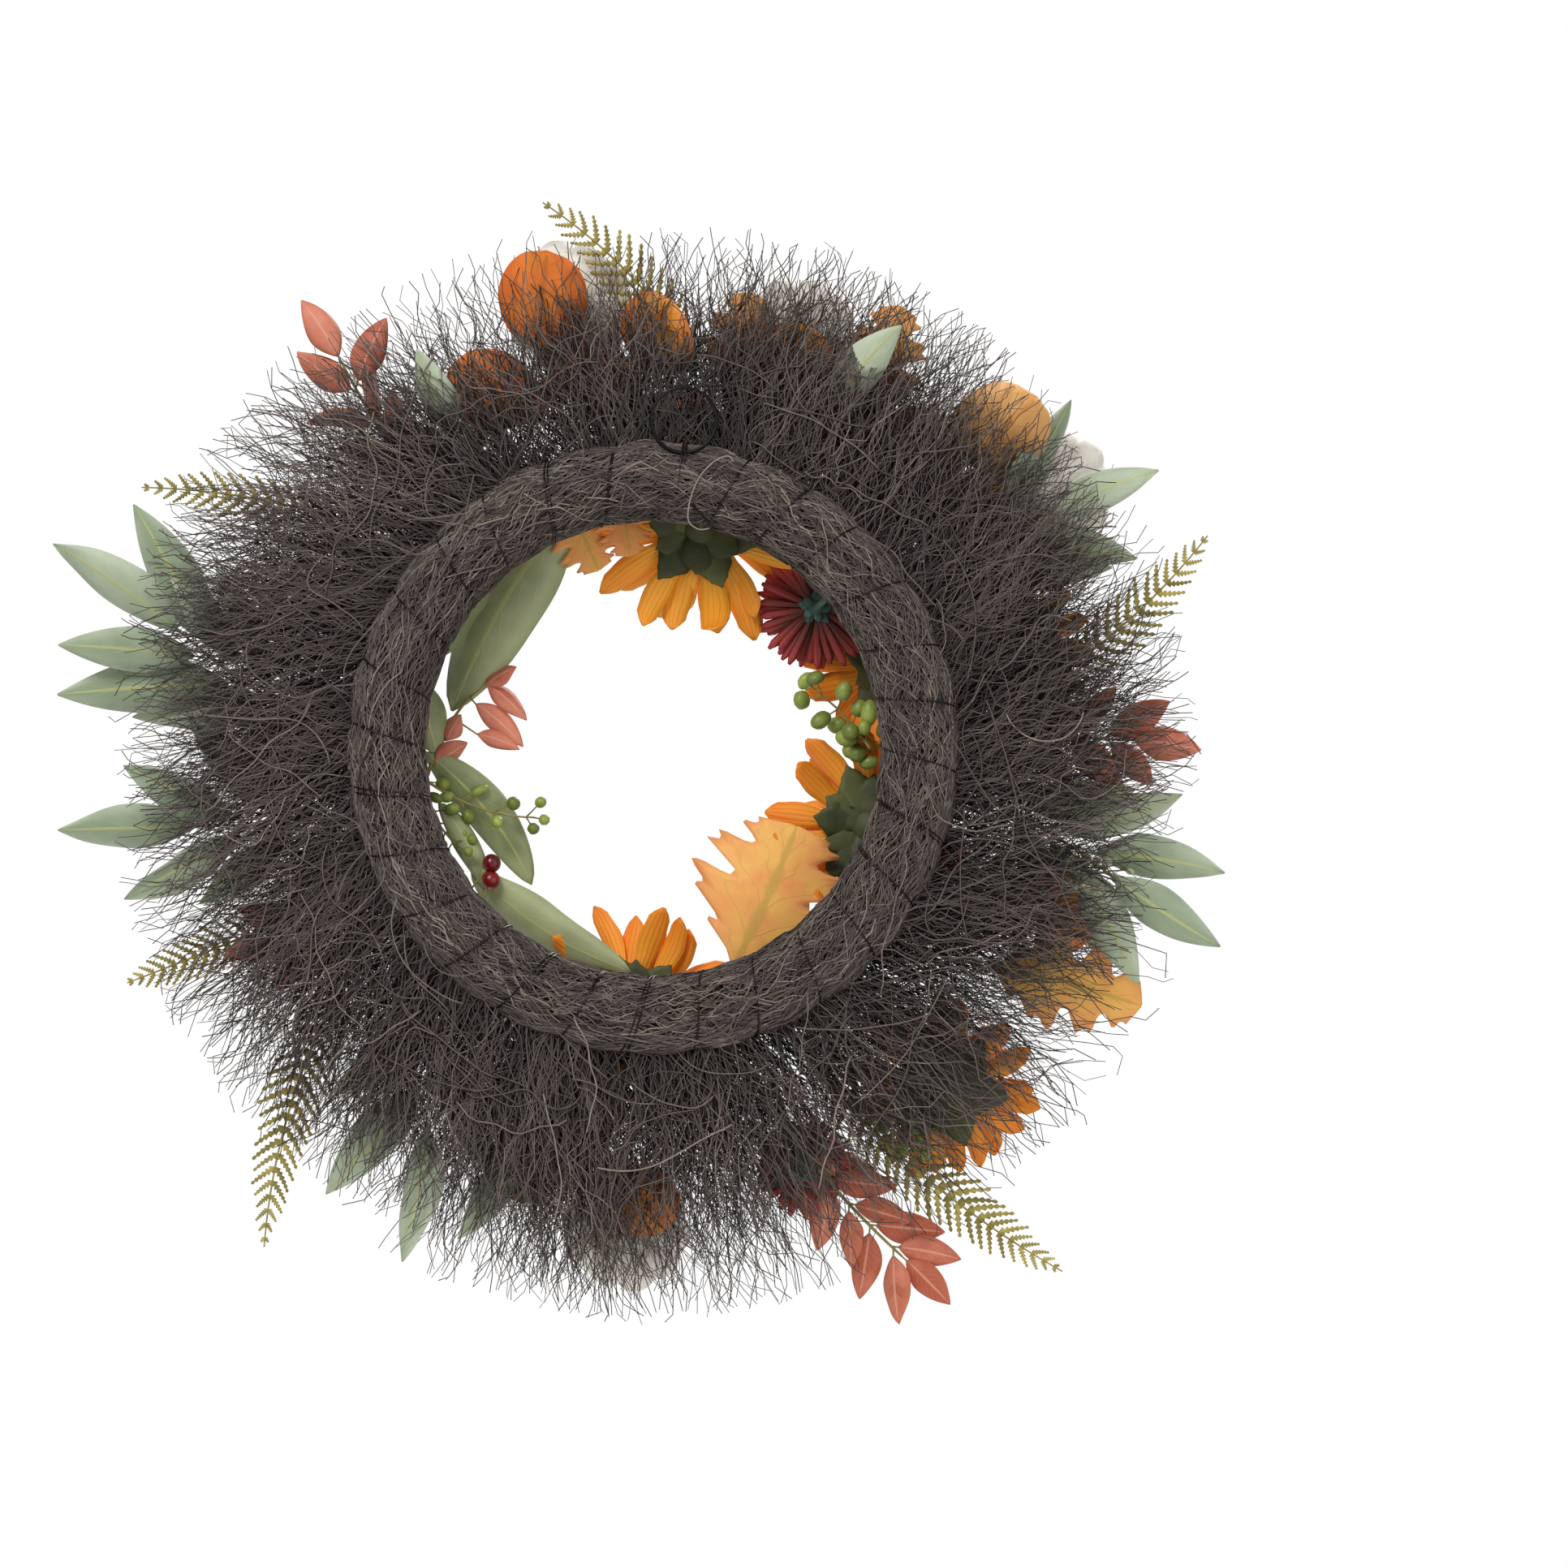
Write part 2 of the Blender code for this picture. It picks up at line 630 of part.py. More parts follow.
def make_inner_leaves():
    """Sprigs that show in the ring's opening, each in its own layer on the ring's front."""
    inner = RING_RADIUS - BOUND_THICKNESS / 2
    add_sheet("magnolia_sprig", sprig_outline(
        (238, inner + 0.004), (144, inner), 3, 0.24, 0.13, 48, 0.1), "magnolia_leaf", INNER_LAYER)
    add_sheet("rust_sprig_1", sprig_outline(
        (196, inner - 0.008), (152, inner - 0.016), 2, 0.367, 0.195, 50), "rust_leaf",
        INNER_LAYER + LAYER_STEP)
    add_sheet("oak_leaf_1", oak_outline(
        (290, inner + 0.006), (330, inner - 0.035), 0.088), "oak_leaf", INNER_LAYER + LAYER_STEP)
    add_sheet("berry_sprig", sprig_outline(
        (4, inner + 0.010), (20, inner - 0.028), 3, 0.18, 0.18, 65, 0.0, 0.5), "berry",
        INNER_LAYER + LAYER_STEP)


def make_outer_leaves():
    """Sprigs laid on the twig fans, with their tips past the ends of the twigs."""
    start = BOUND_EDGE + 0.014
    rim = TWIG_DIAMETER / 2
    sage, feather, broad = OUTER_LAYER, OUTER_LAYER + LAYER_STEP, OUTER_LAYER + 2 * LAYER_STEP
    add_sheet("sage_sprig_1", sprig_outline(
        (172, start + 0.020), (168, rim + 0.020), 2, 0.544, 0.272, 42), "sage_leaf", sage)
    add_sheet("sage_sprig_2", sprig_outline(
        (350, start + 0.010), (344, rim + 0.004), 2, 0.569, 0.284, 42), "sage_leaf", sage)
    add_sheet("sage_sprig_3", sprig_outline(
        (234, start + 0.010), (240, rim - 0.004), 2, 0.598, 0.311, 42), "sage_leaf", sage)
    add_sheet("fern_frond_1", sprig_outline(
        (86, start + 0.020), (99, rim + 0.016), 8, 0.376, 0.085, 60, 0.6), "fern", feather)
    add_sheet("fern_frond_2", sprig_outline(
        (296, start + 0.030), (307, rim + 0.078), 9, 0.289, 0.066, 60, 0.6), "fern", feather)
    add_sheet("rust_sprig_2", sprig_outline(
        (291, start + 0.050), (297, rim + 0.044), 3, 0.367, 0.173, 50), "rust_leaf", broad)
    add_sheet("oak_leaf_2", oak_outline(
        (332, rim - 0.030), (329, rim + 0.024), 0.046), "oak_leaf", broad)
    add_sheet("oak_leaf_3", oak_outline(
        (60, rim - 0.056), (62, rim - 0.002), 0.046), "oak_leaf", broad)
    add_sheet("round_leaf_sprig_1", sprig_outline(
        (112, start + 0.010), (110, rim - 0.030), 1, 0.698, 0.625, 70, 0.0, 0.5),
        "round_leaf", broad)
    add_sheet("round_leaf_sprig_2", sprig_outline(
        (258, start + 0.004), (263, rim - 0.032), 1, 0.624, 0.558, 70, 0.0, 0.5),
        "round_leaf", broad)


clear_scene()
PARTS = new_collection("harvest_wreath")
CUTTERS = new_collection("cutters")
make_hoop()
make_bunches()
make_binding_wire()
make_tie_wire()
make_hanger_ring()
make_sunflowers()
make_mums()
make_pumpkins()
make_inner_leaves()
make_outer_leaves()
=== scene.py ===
# %% [markdown]
# # A harvest door wreath
#
# The wreath is a ring of thin dried twigs bound with dark wire. Loose twig ends fan
# out of it all round, and flowers, pumpkins and leaves are pushed into its front.
# It hangs from a small wire ring at the back.

import json
import math

import bmesh
import bpy
import numpy as np
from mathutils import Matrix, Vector


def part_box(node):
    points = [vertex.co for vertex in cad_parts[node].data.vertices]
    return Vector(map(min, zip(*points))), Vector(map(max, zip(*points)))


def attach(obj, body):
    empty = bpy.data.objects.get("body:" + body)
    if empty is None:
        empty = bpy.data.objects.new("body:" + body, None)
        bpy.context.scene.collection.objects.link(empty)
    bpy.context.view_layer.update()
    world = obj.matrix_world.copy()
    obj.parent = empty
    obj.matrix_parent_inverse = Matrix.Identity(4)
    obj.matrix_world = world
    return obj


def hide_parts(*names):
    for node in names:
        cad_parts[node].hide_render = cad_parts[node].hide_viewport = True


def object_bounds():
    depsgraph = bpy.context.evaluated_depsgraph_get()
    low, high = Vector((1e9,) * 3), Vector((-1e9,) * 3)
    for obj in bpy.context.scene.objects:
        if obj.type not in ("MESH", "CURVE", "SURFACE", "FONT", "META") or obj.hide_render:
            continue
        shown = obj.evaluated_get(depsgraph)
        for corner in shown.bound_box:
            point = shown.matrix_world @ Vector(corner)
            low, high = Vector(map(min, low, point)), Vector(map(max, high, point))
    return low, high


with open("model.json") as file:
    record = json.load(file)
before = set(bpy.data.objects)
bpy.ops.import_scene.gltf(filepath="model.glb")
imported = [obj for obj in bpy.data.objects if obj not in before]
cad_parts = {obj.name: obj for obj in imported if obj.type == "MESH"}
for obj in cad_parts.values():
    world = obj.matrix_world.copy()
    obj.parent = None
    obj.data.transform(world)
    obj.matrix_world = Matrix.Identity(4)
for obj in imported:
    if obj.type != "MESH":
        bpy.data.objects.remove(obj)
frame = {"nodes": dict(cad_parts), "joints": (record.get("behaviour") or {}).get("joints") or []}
frame_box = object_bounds()
print("frame box", [tuple(round(v, 3) for v in corner) for corner in frame_box])

# %% [markdown]
# ## Where things are
#
# The hidden hoop gives the middle and the radius of the bound ring. A place round the
# ring is an angle, anticlockwise as seen from the back and counted from the right-hand
# side there, a distance from the middle, and a distance towards the front. Working in
# these terms keeps every formula below short.

# %% Places round the ring
hoop_low, hoop_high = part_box("wire_hoop")
RING_MIDDLE = np.array((hoop_low + hoop_high) / 2)
HOOP_THICKNESS = hoop_high.y - hoop_low.y
RING_RADIUS = (hoop_high.x - hoop_low.x - HOOP_THICKNESS) / 2
HINGE = np.array(frame["joints"][0]["pos_m"])
HANGER_ANGLE = math.degrees(math.atan2(HINGE[2] - RING_MIDDLE[2], RING_MIDDLE[0] - HINGE[0]))
BUNCHES = sorted(name for name in frame["nodes"] if name.startswith("twig_bunch_"))
BUNCH_ANGLE = 360.0 / len(BUNCHES)
TURN_ANGLE = BUNCH_ANGLE / 2
STEM_BED = 0.0185
WIRE_BED = 0.0216


def ring_places(angle, radius, forward):
    """x falls and z rises with the cosine and sine of the angle, and y falls going forward."""
    turn = np.radians(np.asarray(angle, float))
    x = RING_MIDDLE[0] - radius * np.cos(turn)
    z = RING_MIDDLE[2] + radius * np.sin(turn)
    return np.stack(np.broadcast_arrays(x, RING_MIDDLE[1] - forward, z), axis=-1)


def section_places(angle, tube_angle, tube_radius):
    """A circle carried round the ring: tube angle 0 is outwards and 90 is to the back."""
    tube = np.radians(np.asarray(tube_angle, float))
    return ring_places(angle, RING_RADIUS + tube_radius * np.cos(tube), -tube_radius * np.sin(tube))


print("ring radius", round(RING_RADIUS, 4), "hanger at", round(HANGER_ANGLE, 1), "degrees")

# %% [markdown]
# ## Camera, lights and floor
#
# The wreath is looked at squarely from its back with a long lens, so nothing leans or
# grows towards the edges. Large soft lamps and a white world give the flat, bright
# light of a studio, and the pale floor is well below the wreath, which hangs.

# %% Camera, lights and floor
VIEW_WIDTH = 0.8636
VIEW_DISTANCE = 6.0
VIEW_ASIDE = -0.0720
VIEW_DOWN = -0.0197
SENSOR = 36.0
FLOOR_DROP = 0.22
FLOOR_SIZE = 1.9
FLOOR_COLOUR = (0.86, 0.86, 0.85, 1.0)
FLOOR_ROUGHNESS = 0.9
SKY_LIGHT = 0.55
FARTHEST_SEEN = 50.0


def add_camera():
    """The lens that makes a given width fill the sensor: sensor times distance over width."""
    camera = bpy.data.objects.new("camera", bpy.data.cameras.new("camera"))
    bpy.context.scene.collection.objects.link(camera)
    camera.data.sensor_width = SENSOR
    camera.data.lens = SENSOR * VIEW_DISTANCE / VIEW_WIDTH
    camera.data.clip_end = FARTHEST_SEEN
    camera.location = Vector(RING_MIDDLE) + Vector((VIEW_ASIDE, VIEW_DISTANCE, VIEW_DOWN))
    camera.rotation_euler = (math.pi / 2, 0, math.pi)
    bpy.context.scene.camera = camera


def add_lamp(name, place, width, power):
    """A round lamp at a place measured from the ring's middle, turned to look at it."""
    lamp = bpy.data.objects.new(name, bpy.data.lights.new(name, "AREA"))
    bpy.context.scene.collection.objects.link(lamp)
    lamp.data.shape = "DISK"
    lamp.data.size = width
    lamp.data.energy = power
    lamp.location = Vector(RING_MIDDLE) + Vector(place)
    lamp.rotation_euler = (-Vector(place)).to_track_quat("-Z", "Y").to_euler()


def add_surroundings():
    """A world that is full white where the camera sees it and weaker where it lights, and a floor."""
    world = bpy.data.worlds.new("studio")
    bpy.context.scene.world = world
    world.use_nodes = True
    tree = world.node_tree
    seen = tree.nodes.new("ShaderNodeLightPath").outputs["Is Camera Ray"]
    strength = tree.nodes.new("ShaderNodeMapRange")
    strength.inputs["To Min"].default_value = SKY_LIGHT
    tree.links.new(seen, strength.inputs["Value"])
    tree.links.new(strength.outputs["Result"], tree.nodes["Background"].inputs["Strength"])
    tree.nodes["Background"].inputs["Color"].default_value = (1.0, 1.0, 1.0, 1.0)
    bpy.context.scene.view_settings.view_transform = "Standard"
    below = (RING_MIDDLE[0], 0, frame_box[0].z - FLOOR_DROP)
    bpy.ops.mesh.primitive_plane_add(size=FLOOR_SIZE, location=below)
    floor = bpy.context.object
    floor.name = "floor"
    pale = bpy.data.materials.new("pale floor")
    pale.use_nodes = True
    shader = pale.node_tree.nodes["Principled BSDF"]
    shader.inputs["Base Color"].default_value = FLOOR_COLOUR
    shader.inputs["Roughness"].default_value = FLOOR_ROUGHNESS
    floor.data.materials.append(pale)


add_camera()
add_surroundings()
add_lamp("key lamp", (0.9, 2.0, 1.6), 1.1, 46.0)
add_lamp("fill lamp", (-1.8, 2.0, 0.2), 1.6, 13.0)
add_lamp("front lamp", (-1.0, -2.2, 1.5), 1.1, 52.0)
print("lens", round(bpy.context.scene.camera.data.lens, 1), "mm")

# %% [markdown]
# ## Writing a finish as sums
#
# A finish is a small graph of nodes. Wiring one by hand hides what it computes, so a
# small class wraps one output and lets Python's own signs build the Math nodes. Every
# other kind of node comes from the one method `node`.


# %% Finishes as expressions
class Flow:
    """One value that runs through a material's nodes."""

    def __init__(self, tree, socket=None):
        self.tree = tree
        self.socket = socket

    def node(self, kind, settings=None, inputs=None, output=0):
        """Any node: its settings are set first, then a number or a link goes to each socket."""
        made = self.tree.nodes.new(kind)
        for key, value in (settings or {}).items():
            if key == "stops":
                self.set_stops(made.color_ramp, value)
            else:
                setattr(made, key, value)
        for key, value in (inputs or {}).items():
            if isinstance(value, Flow):
                self.tree.links.new(value.socket, made.inputs[key])
            else:
                made.inputs[key].default_value = value
        return Flow(self.tree, made.outputs[output])

    @staticmethod
    def set_stops(ramp, stops):
        """Each stop is a place from 0 to 1 and a colour."""
        while len(ramp.elements) < len(stops):
            ramp.elements.new(1.0)
        for element, (place, colour) in zip(ramp.elements, stops):
            element.position = place
            element.color = (*colour, 1.0)

    def math(self, operation, first, second=0.0):
        """One Math node, with a flow or a number at each of its two inputs."""
        return self.node("ShaderNodeMath", {"operation": operation}, {0: first, 1: second})

    def __add__(self, other):
        return self.math("ADD", self, other)

    def __radd__(self, other):
        return self.math("ADD", other, self)

    def __sub__(self, other):
        return self.math("SUBTRACT", self, other)

    def __rsub__(self, other):
        return self.math("SUBTRACT", other, self)

    def __mul__(self, other):
        return self.math("MULTIPLY", self, other)

    def __rmul__(self, other):
        return self.math("MULTIPLY", other, self)

    def __pow__(self, power):
        return self.math("POWER", self, power)

    def __abs__(self):
        return self.math("ABSOLUTE", self)

    def wave(self):
        """The sine of this value in radians."""
        return self.math("SINE", self)

    def below(self, limit, softness):
        """1 well under the limit, 0 well over it, and a smooth step between."""
        return self.node("ShaderNodeMapRange", {"interpolation_type": "SMOOTHSTEP"},
                         {"Value": self, "From Min": limit - softness, "From Max": limit + softness,
                          "To Min": 1.0, "To Max": 0.0})

    def ramp(self, *stops):
        """A colour for each place, with colours between places mixed in proportion."""
        return self.node("ShaderNodeValToRGB", {"stops": stops}, {"Fac": self})

    def between(self, first, second):
        """The first colour where this is 0 and the second where it is 1."""
        first = (*first, 1.0) if isinstance(first, tuple) else first
        second = (*second, 1.0) if isinstance(second, tuple) else second
        return self.node("ShaderNodeMix", {"data_type": "RGBA"}, {0: self, 6: first, 7: second}, 2)


BUMP_STRENGTH = 0.6


class Finish(Flow):
    """A material whose shader is set with fixed numbers and with flows."""

    def __init__(self, name, **constants):
        self.material = bpy.data.materials.new(name)
        self.material.use_nodes = True
        super().__init__(self.material.node_tree)
        self.shader = self.tree.nodes["Principled BSDF"]
        for key, value in constants.items():
            self.shader.inputs[key.replace("_", " ")].default_value = value
        self.place = self.node("ShaderNodeTexCoord", output=3)

    def noise(self, scale, detail=3.0):
        """Soft noise from about 0.3 to 0.7, with so many bumps in a metre."""
        return self.node("ShaderNodeTexNoise",
                         inputs={"Vector": self.place, "Scale": scale, "Detail": detail})

    def attribute(self, name):
        """A number that each point of the mesh carries."""
        return self.node("ShaderNodeAttribute", {"attribute_name": name}, output=2)

    def blade(self):
        """How far along a blade, and how far across it from -1 to 1."""
        place = self.node("ShaderNodeUVMap", {"uv_map": "blade"})
        split = self.node("ShaderNodeSeparateXYZ", inputs={0: place})
        across = Flow(self.tree, split.socket.node.outputs[1])
        return split, across * 2.0 - 1.0

    def finish(self, colour, height, bump_size, roughness=None):
        """The flows go to the shader, and the height through a bump as deep as its size."""
        bump = self.node("ShaderNodeBump", inputs={"Height": height, "Strength": BUMP_STRENGTH,
                                                   "Distance": bump_size})
        ends = {"Base Color": colour, "Normal": bump}
        if roughness is not None:
            ends["Roughness"] = roughness
        for name, flow in ends.items():
            self.tree.links.new(flow.socket, self.shader.inputs[name])
        return self.material


print("shader helpers ready")

# %% [markdown]
# ## Turning arrays into pieces
#
# Every piece is worked out as whole arrays and put into its mesh in one go. Besides
# its own points, a piece can carry a tone for each point, so that no two twigs or
# leaves have quite the same colour. A second set of coordinates, one strip for each
# twig or one tile for each leaf, gives every surface its own patch when its colours
# are stored as pictures.


# %% A piece from arrays
def add_piece(name, points, groups, finish, nodes=(), body="wreath", tones=None):
    """Each group holds faces of one size: their corners, tile coordinates and blade coordinates."""
    mesh = bpy.data.meshes.new(name)
    corners = [faces.reshape(-1) for faces, _, _ in groups]
    sizes = np.concatenate([np.full(len(faces), faces.shape[1]) for faces, _, _ in groups])
    starts = np.concatenate([[0], np.cumsum(sizes)[:-1]])
    mesh.vertices.add(len(points))
    mesh.vertices.foreach_set("co", np.ascontiguousarray(points, np.float32).reshape(-1))
    mesh.loops.add(int(sizes.sum()))
    mesh.loops.foreach_set("vertex_index", np.concatenate(corners).astype(np.int32))
    mesh.polygons.add(len(sizes))
    mesh.polygons.foreach_set("loop_start", starts.astype(np.int32))
    mesh.polygons.foreach_set("loop_total", sizes.astype(np.int32))
    mesh.polygons.foreach_set("use_smooth", np.ones(len(sizes), bool))
    for layer, part in (("OFBake", 1), ("blade", 2)):
        if all(group[part] is not None for group in groups):
            flat = np.concatenate([group[part].reshape(-1) for group in groups])
            mesh.uv_layers.new(name=layer).data.foreach_set("uv", flat.astype(np.float32))
    for key, values in (tones or {}).items():
        made = mesh.attributes.new(key, "FLOAT", "POINT")
        made.data.foreach_set("value", np.ascontiguousarray(values, np.float32).reshape(-1))
    mesh.update()
    mesh.validate()
    piece = bpy.data.objects.new(name, mesh)
    bpy.context.scene.collection.objects.link(piece)
    mesh.materials.append(finish)
    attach(piece, body)
    if nodes:
        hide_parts(*nodes)
    return piece


def unit(vectors):
    """Each vector divided by its own length."""
    return vectors / np.maximum(np.linalg.norm(vectors, axis=-1, keepdims=True), 1e-12)


TILE_FILL = 0.94


def tiles(count):
    """The corner and side of a square tile for each of so many items, with a gap between tiles."""
    across = math.ceil(math.sqrt(count))
    number = np.arange(count)
    corner = np.stack([number % across, number // across], axis=-1) / across
    return corner, TILE_FILL / across


def tubes(paths, radii, sides, reference):
    """Many round strands: at each point of each path, a circle at right angles to it.

    The circle's axes are the path's direction crossed with a reference direction, and
    that direction crossed again. Ends are closed with one flat face."""
    count, steps = paths.shape[:2]
    ahead = unit(np.gradient(paths, axis=1))
    first = unit(np.cross(ahead, np.broadcast_to(reference, ahead.shape)))
    second = np.cross(ahead, first)
    turn = 2 * np.pi * np.arange(sides) / sides
    circle = (first[:, :, None] * np.cos(turn)[:, None] + second[:, :, None] * np.sin(turn)[:, None])
    points = paths[:, :, None] + radii[:, :, None, None] * circle
    index = np.arange(count * steps * sides).reshape(count, steps, sides)
    after = np.roll(index, -1, axis=2)
    walls = np.stack([index[:, :-1], after[:, :-1], after[:, 1:], index[:, 1:]], axis=-1)
    corner, size = tiles(count)
    along = np.arange(steps) / (steps - 1)
    around = np.arange(sides + 1) / sides
    u = np.stack([along[:-1], along[:-1], along[1:], along[1:]], axis=-1)[:, None, :]
    v = np.stack([around[:-1], around[1:], around[1:], around[:-1]], axis=-1)[None, :, :]
    local = np.stack(np.broadcast_arrays(u, v), axis=-1)
    wall_tiles = corner[:, None, None, None] + size * local[None]
    caps = np.concatenate([index[:, 0, ::-1], index[:, -1]])
    cap_tiles = np.repeat(np.concatenate([corner, corner + size])[:, None], sides, axis=1)
    groups = [(walls.reshape(-1, 4), wall_tiles.reshape(-1, 4, 2), None),
              (caps, cap_tiles, None)]
    return points.reshape(-1, 3), groups


def sheets(grid, thickness):
    """Many thin leaves from one array of surfaces: the upper and lower skins are the
    surface moved half the thickness along its normal, joined round the rim."""
    count, rows, columns = grid.shape[:3]
    normal = unit(np.cross(np.gradient(grid, axis=1), np.gradient(grid, axis=2)))
    points = np.stack([grid + normal * thickness / 2, grid - normal * thickness / 2], axis=1)
    index = np.arange(points.size // 3).reshape(count, 2, rows, columns)
    u, v = np.meshgrid(np.linspace(0, 1, rows), np.linspace(0, 1, columns), indexing="ij")
    local = np.stack([u, v], axis=-1)
    corner, size = tiles(2 * count)
    tile = corner.reshape(count, 2, 1, 1, 2) + size * local[None, None]
    blade = np.broadcast_to(local, tile.shape)

    def quads(values):
        """The values at the four corners of every face of the grid."""
        return np.stack([values[:, :, :-1, :-1], values[:, :, 1:, :-1],
                         values[:, :, 1:, 1:], values[:, :, :-1, 1:]], axis=4)

    faces = np.stack([index[:, :, :-1, :-1], index[:, :, 1:, :-1],
                      index[:, :, 1:, 1:], index[:, :, :-1, 1:]], axis=-1)
    faces[:, 1] = faces[:, 1, :, :, ::-1]
    corners = {}
    for key, values in (("tile", tile), ("blade", blade)):
        made = quads(values)
        made[:, 1] = made[:, 1, :, :, ::-1]
        corners[key] = made.reshape(-1, 4, 2)
    rim = np.concatenate([
        np.stack([np.arange(rows - 1), np.zeros(rows - 1, int)], -1),
        np.stack([np.full(columns - 1, rows - 1), np.arange(columns - 1)], -1),
        np.stack([np.arange(rows - 1, 0, -1), np.full(rows - 1, columns - 1)], -1),
        np.stack([np.zeros(columns - 1, int), np.arange(columns - 1, 0, -1)], -1)])
    here, there = rim, np.roll(rim, -1, axis=0)

    def edge(values, side, at):
        """The values on one skin at the given places of its rim."""
        return values[:, side, at[:, 0], at[:, 1]]

    rim_faces = np.stack([edge(index, 0, there), edge(index, 0, here),
                          edge(index, 1, here), edge(index, 1, there)], axis=-1)
    rim_tiles, rim_blades = (
        np.stack([edge(values, 0, there), edge(values, 0, here),
                  edge(values, 0, here), edge(values, 0, there)], axis=-2)
        for values in (tile, blade))
    groups = [(faces.reshape(-1, 4), corners["tile"], corners["blade"]),
              (rim_faces.reshape(-1, 4), rim_tiles.reshape(-1, 4, 2), rim_blades.reshape(-1, 4, 2))]
    return points.reshape(-1, 3), groups


def joined(parts):
    """Several (points, groups, tones) sets as one: each set's corner numbers are moved
    past the points of those before it, and tiles are packed side by side."""
    points, groups, tones, shift = [], [], {}, 0
    across = math.ceil(math.sqrt(len(parts)))
    for number, (part_points, part_groups, part_tones) in enumerate(parts):
        corner = np.array([number % across, number // across]) / across
        for faces, tile, blade in part_groups:
            groups.append((faces + shift, corner + tile / across, blade))
        points.append(part_points)
        shift += len(part_points)
        for key, values in part_tones.items():
            tones.setdefault(key, []).append(np.asarray(values).reshape(-1))
    if not all(group[2] is not None for group in groups):
        groups = [(faces, tile, np.zeros(tile.shape) if blade is None else blade)
                  for faces, tile, blade in groups]
    return np.concatenate(points), groups, {k: np.concatenate(v) for k, v in tones.items()}


print("mesh helpers ready")

# %% [markdown]
# ## Twig finish
#
# Dried twigs are a greyed brown with a little mauve in it. Each one is a tone of its
# own, the ones deep in a bunch are painted darker as shade, and the bark is finely
# streaked along the twig. The tone and the painted shade come with the points, and a
# fine noise adds the streaks.


# %% Twig finish
def twig_finish():
    """Tone and noise pick a brown from a ramp, and painted shade deep in the bunch takes it to black."""
    made = Finish("dried twig bark", Roughness=0.82)
    tone = made.attribute("tone") * 0.8 + made.noise(160.0) * 0.35 - 0.08
    bark = tone.ramp((0.0, (0.021, 0.015, 0.014)), (0.35, (0.058, 0.043, 0.039)),
                     (0.65, (0.122, 0.096, 0.086)), (0.92, (0.27, 0.215, 0.172)),
                     (1.0, (0.42, 0.32, 0.22)))
    # Painted shade: twigs deep in a bunch are coloured towards near black.
    deep = made.attribute("deep")
    colour = deep.between(bark, (0.009, 0.007, 0.007))
    grain = made.noise(1400.0, 2.0)
    return made.finish(colour, grain, 0.0002)


TWIG = twig_finish()
print("made", TWIG.name)

# %% [markdown]
# ## Twig bunches
#
# A real bunch is a few hundred twigs with their stems bound to the hoop and their
# ends left loose. A carved block could never look like that, so every twig is a strand
# of its own. The loose ends start inside the binding, lean round the ring, and wander
# as they grow, because dried twigs are kinked. They are made in tufts of a few that
# keep together, and some tufts are left out where the real bunches are thin. The bound
# stems run along the ring, slant across each other, and are pinched at every turn of
# the wire.

# %% How the bunches grow
LEAN_PLACES = (0, 45, 90, 135, 180, 225, 270, 315, 360)
LEANS = (24, 20, -6, 32, 24, 26, 6, 28, 24)
LOOSE_TWIGS = 840
TWIGS_IN_TUFT = 8
LOOSE_STEPS = 14
STRAY_TWIGS = 10
BOUND_TWIGS = 640
BOUND_STEPS = 10
TWIG_SIDES = 3
TO_THE_BACK = (0.0, 1.0, 0.05)
CORE_STEPS = 8
CORE_SIDES = 14
CORE_SHADE = 0.85
BACK_LIMIT = -0.009
HANGER_CLEARANCE = 0.028
HANGER_SWING = 0.007
HANGER_SHADE = 0.28
THIN_PLACES = (0, 62, 80, 108, 126, 272, 298, 340, 360)
THIN_SHARES = (1.0, 1.0, 0.66, 0.66, 1.0, 1.0, 0.70, 0.70, 1.0)
PALE_TWIG_PLACES = ((74.1, 0.1627), (75.4, 0.1663), (77.7, 0.1619), (80.3, 0.1515),
                    (81.6, 0.1374), (81.4, 0.1252), (77.9, 0.122), (75.3, 0.1248))
PALE_TWIG_STEPS = 40
PALE_TWIG_BACK = 0.0242
PALE_TWIG_RADIUS = 0.00042
SMOOTHING = 4
FRONT_LIMIT = 0.034
HEART_LAYER = 0.009
HEART_DEPTH = 0.009
HEART_SHADE = 0.75
ROOT_SHADE = 0.35
ROOT_SHADE_REACH = 0.070
DARKEST = 0.92
SPLAY = 3.0
LOOSE_RADII = (0.00034, 0.00058)
STRAY_RADII = (0.0004, 0.0006)
STRAY_LENGTHS = (0.04, 0.09)
STRAY_TURN = 62
STRAY_ON_RING = 0.0228
STRAY_ON_TWIGS = 0.0105
BOUND_RADII = (0.00034, 0.00062)
BOUND_SURFACE = 0.0202
BOUND_SWELL = 0.0020
BACK_SWELL = 0.0010
BOUND_LAYERS = 0.0030


def wandering(rng, count, steps, waves, strength):
    """A sum of a few sine waves along each strand, each with its own strength and start."""
    along = np.linspace(0, 1, steps)[None, :]
    total = np.zeros((count, steps))
    for wave in waves:
        size = rng.normal(0, strength, (count, 1)) / math.sqrt(wave)
        total += size * np.sin(2 * np.pi * (wave * along + rng.random((count, 1))))
    return total


def behind_hanger(paths):
    """1 where a path runs behind the hanging ring, falling to 0 a third further out."""
    away = np.hypot(paths[..., 0] - HINGE[0], paths[..., 2] - HINGE[2] / 2) / HANGER_CLEARANCE
    return np.clip((1.35 - away) / 0.4, 0, 1)


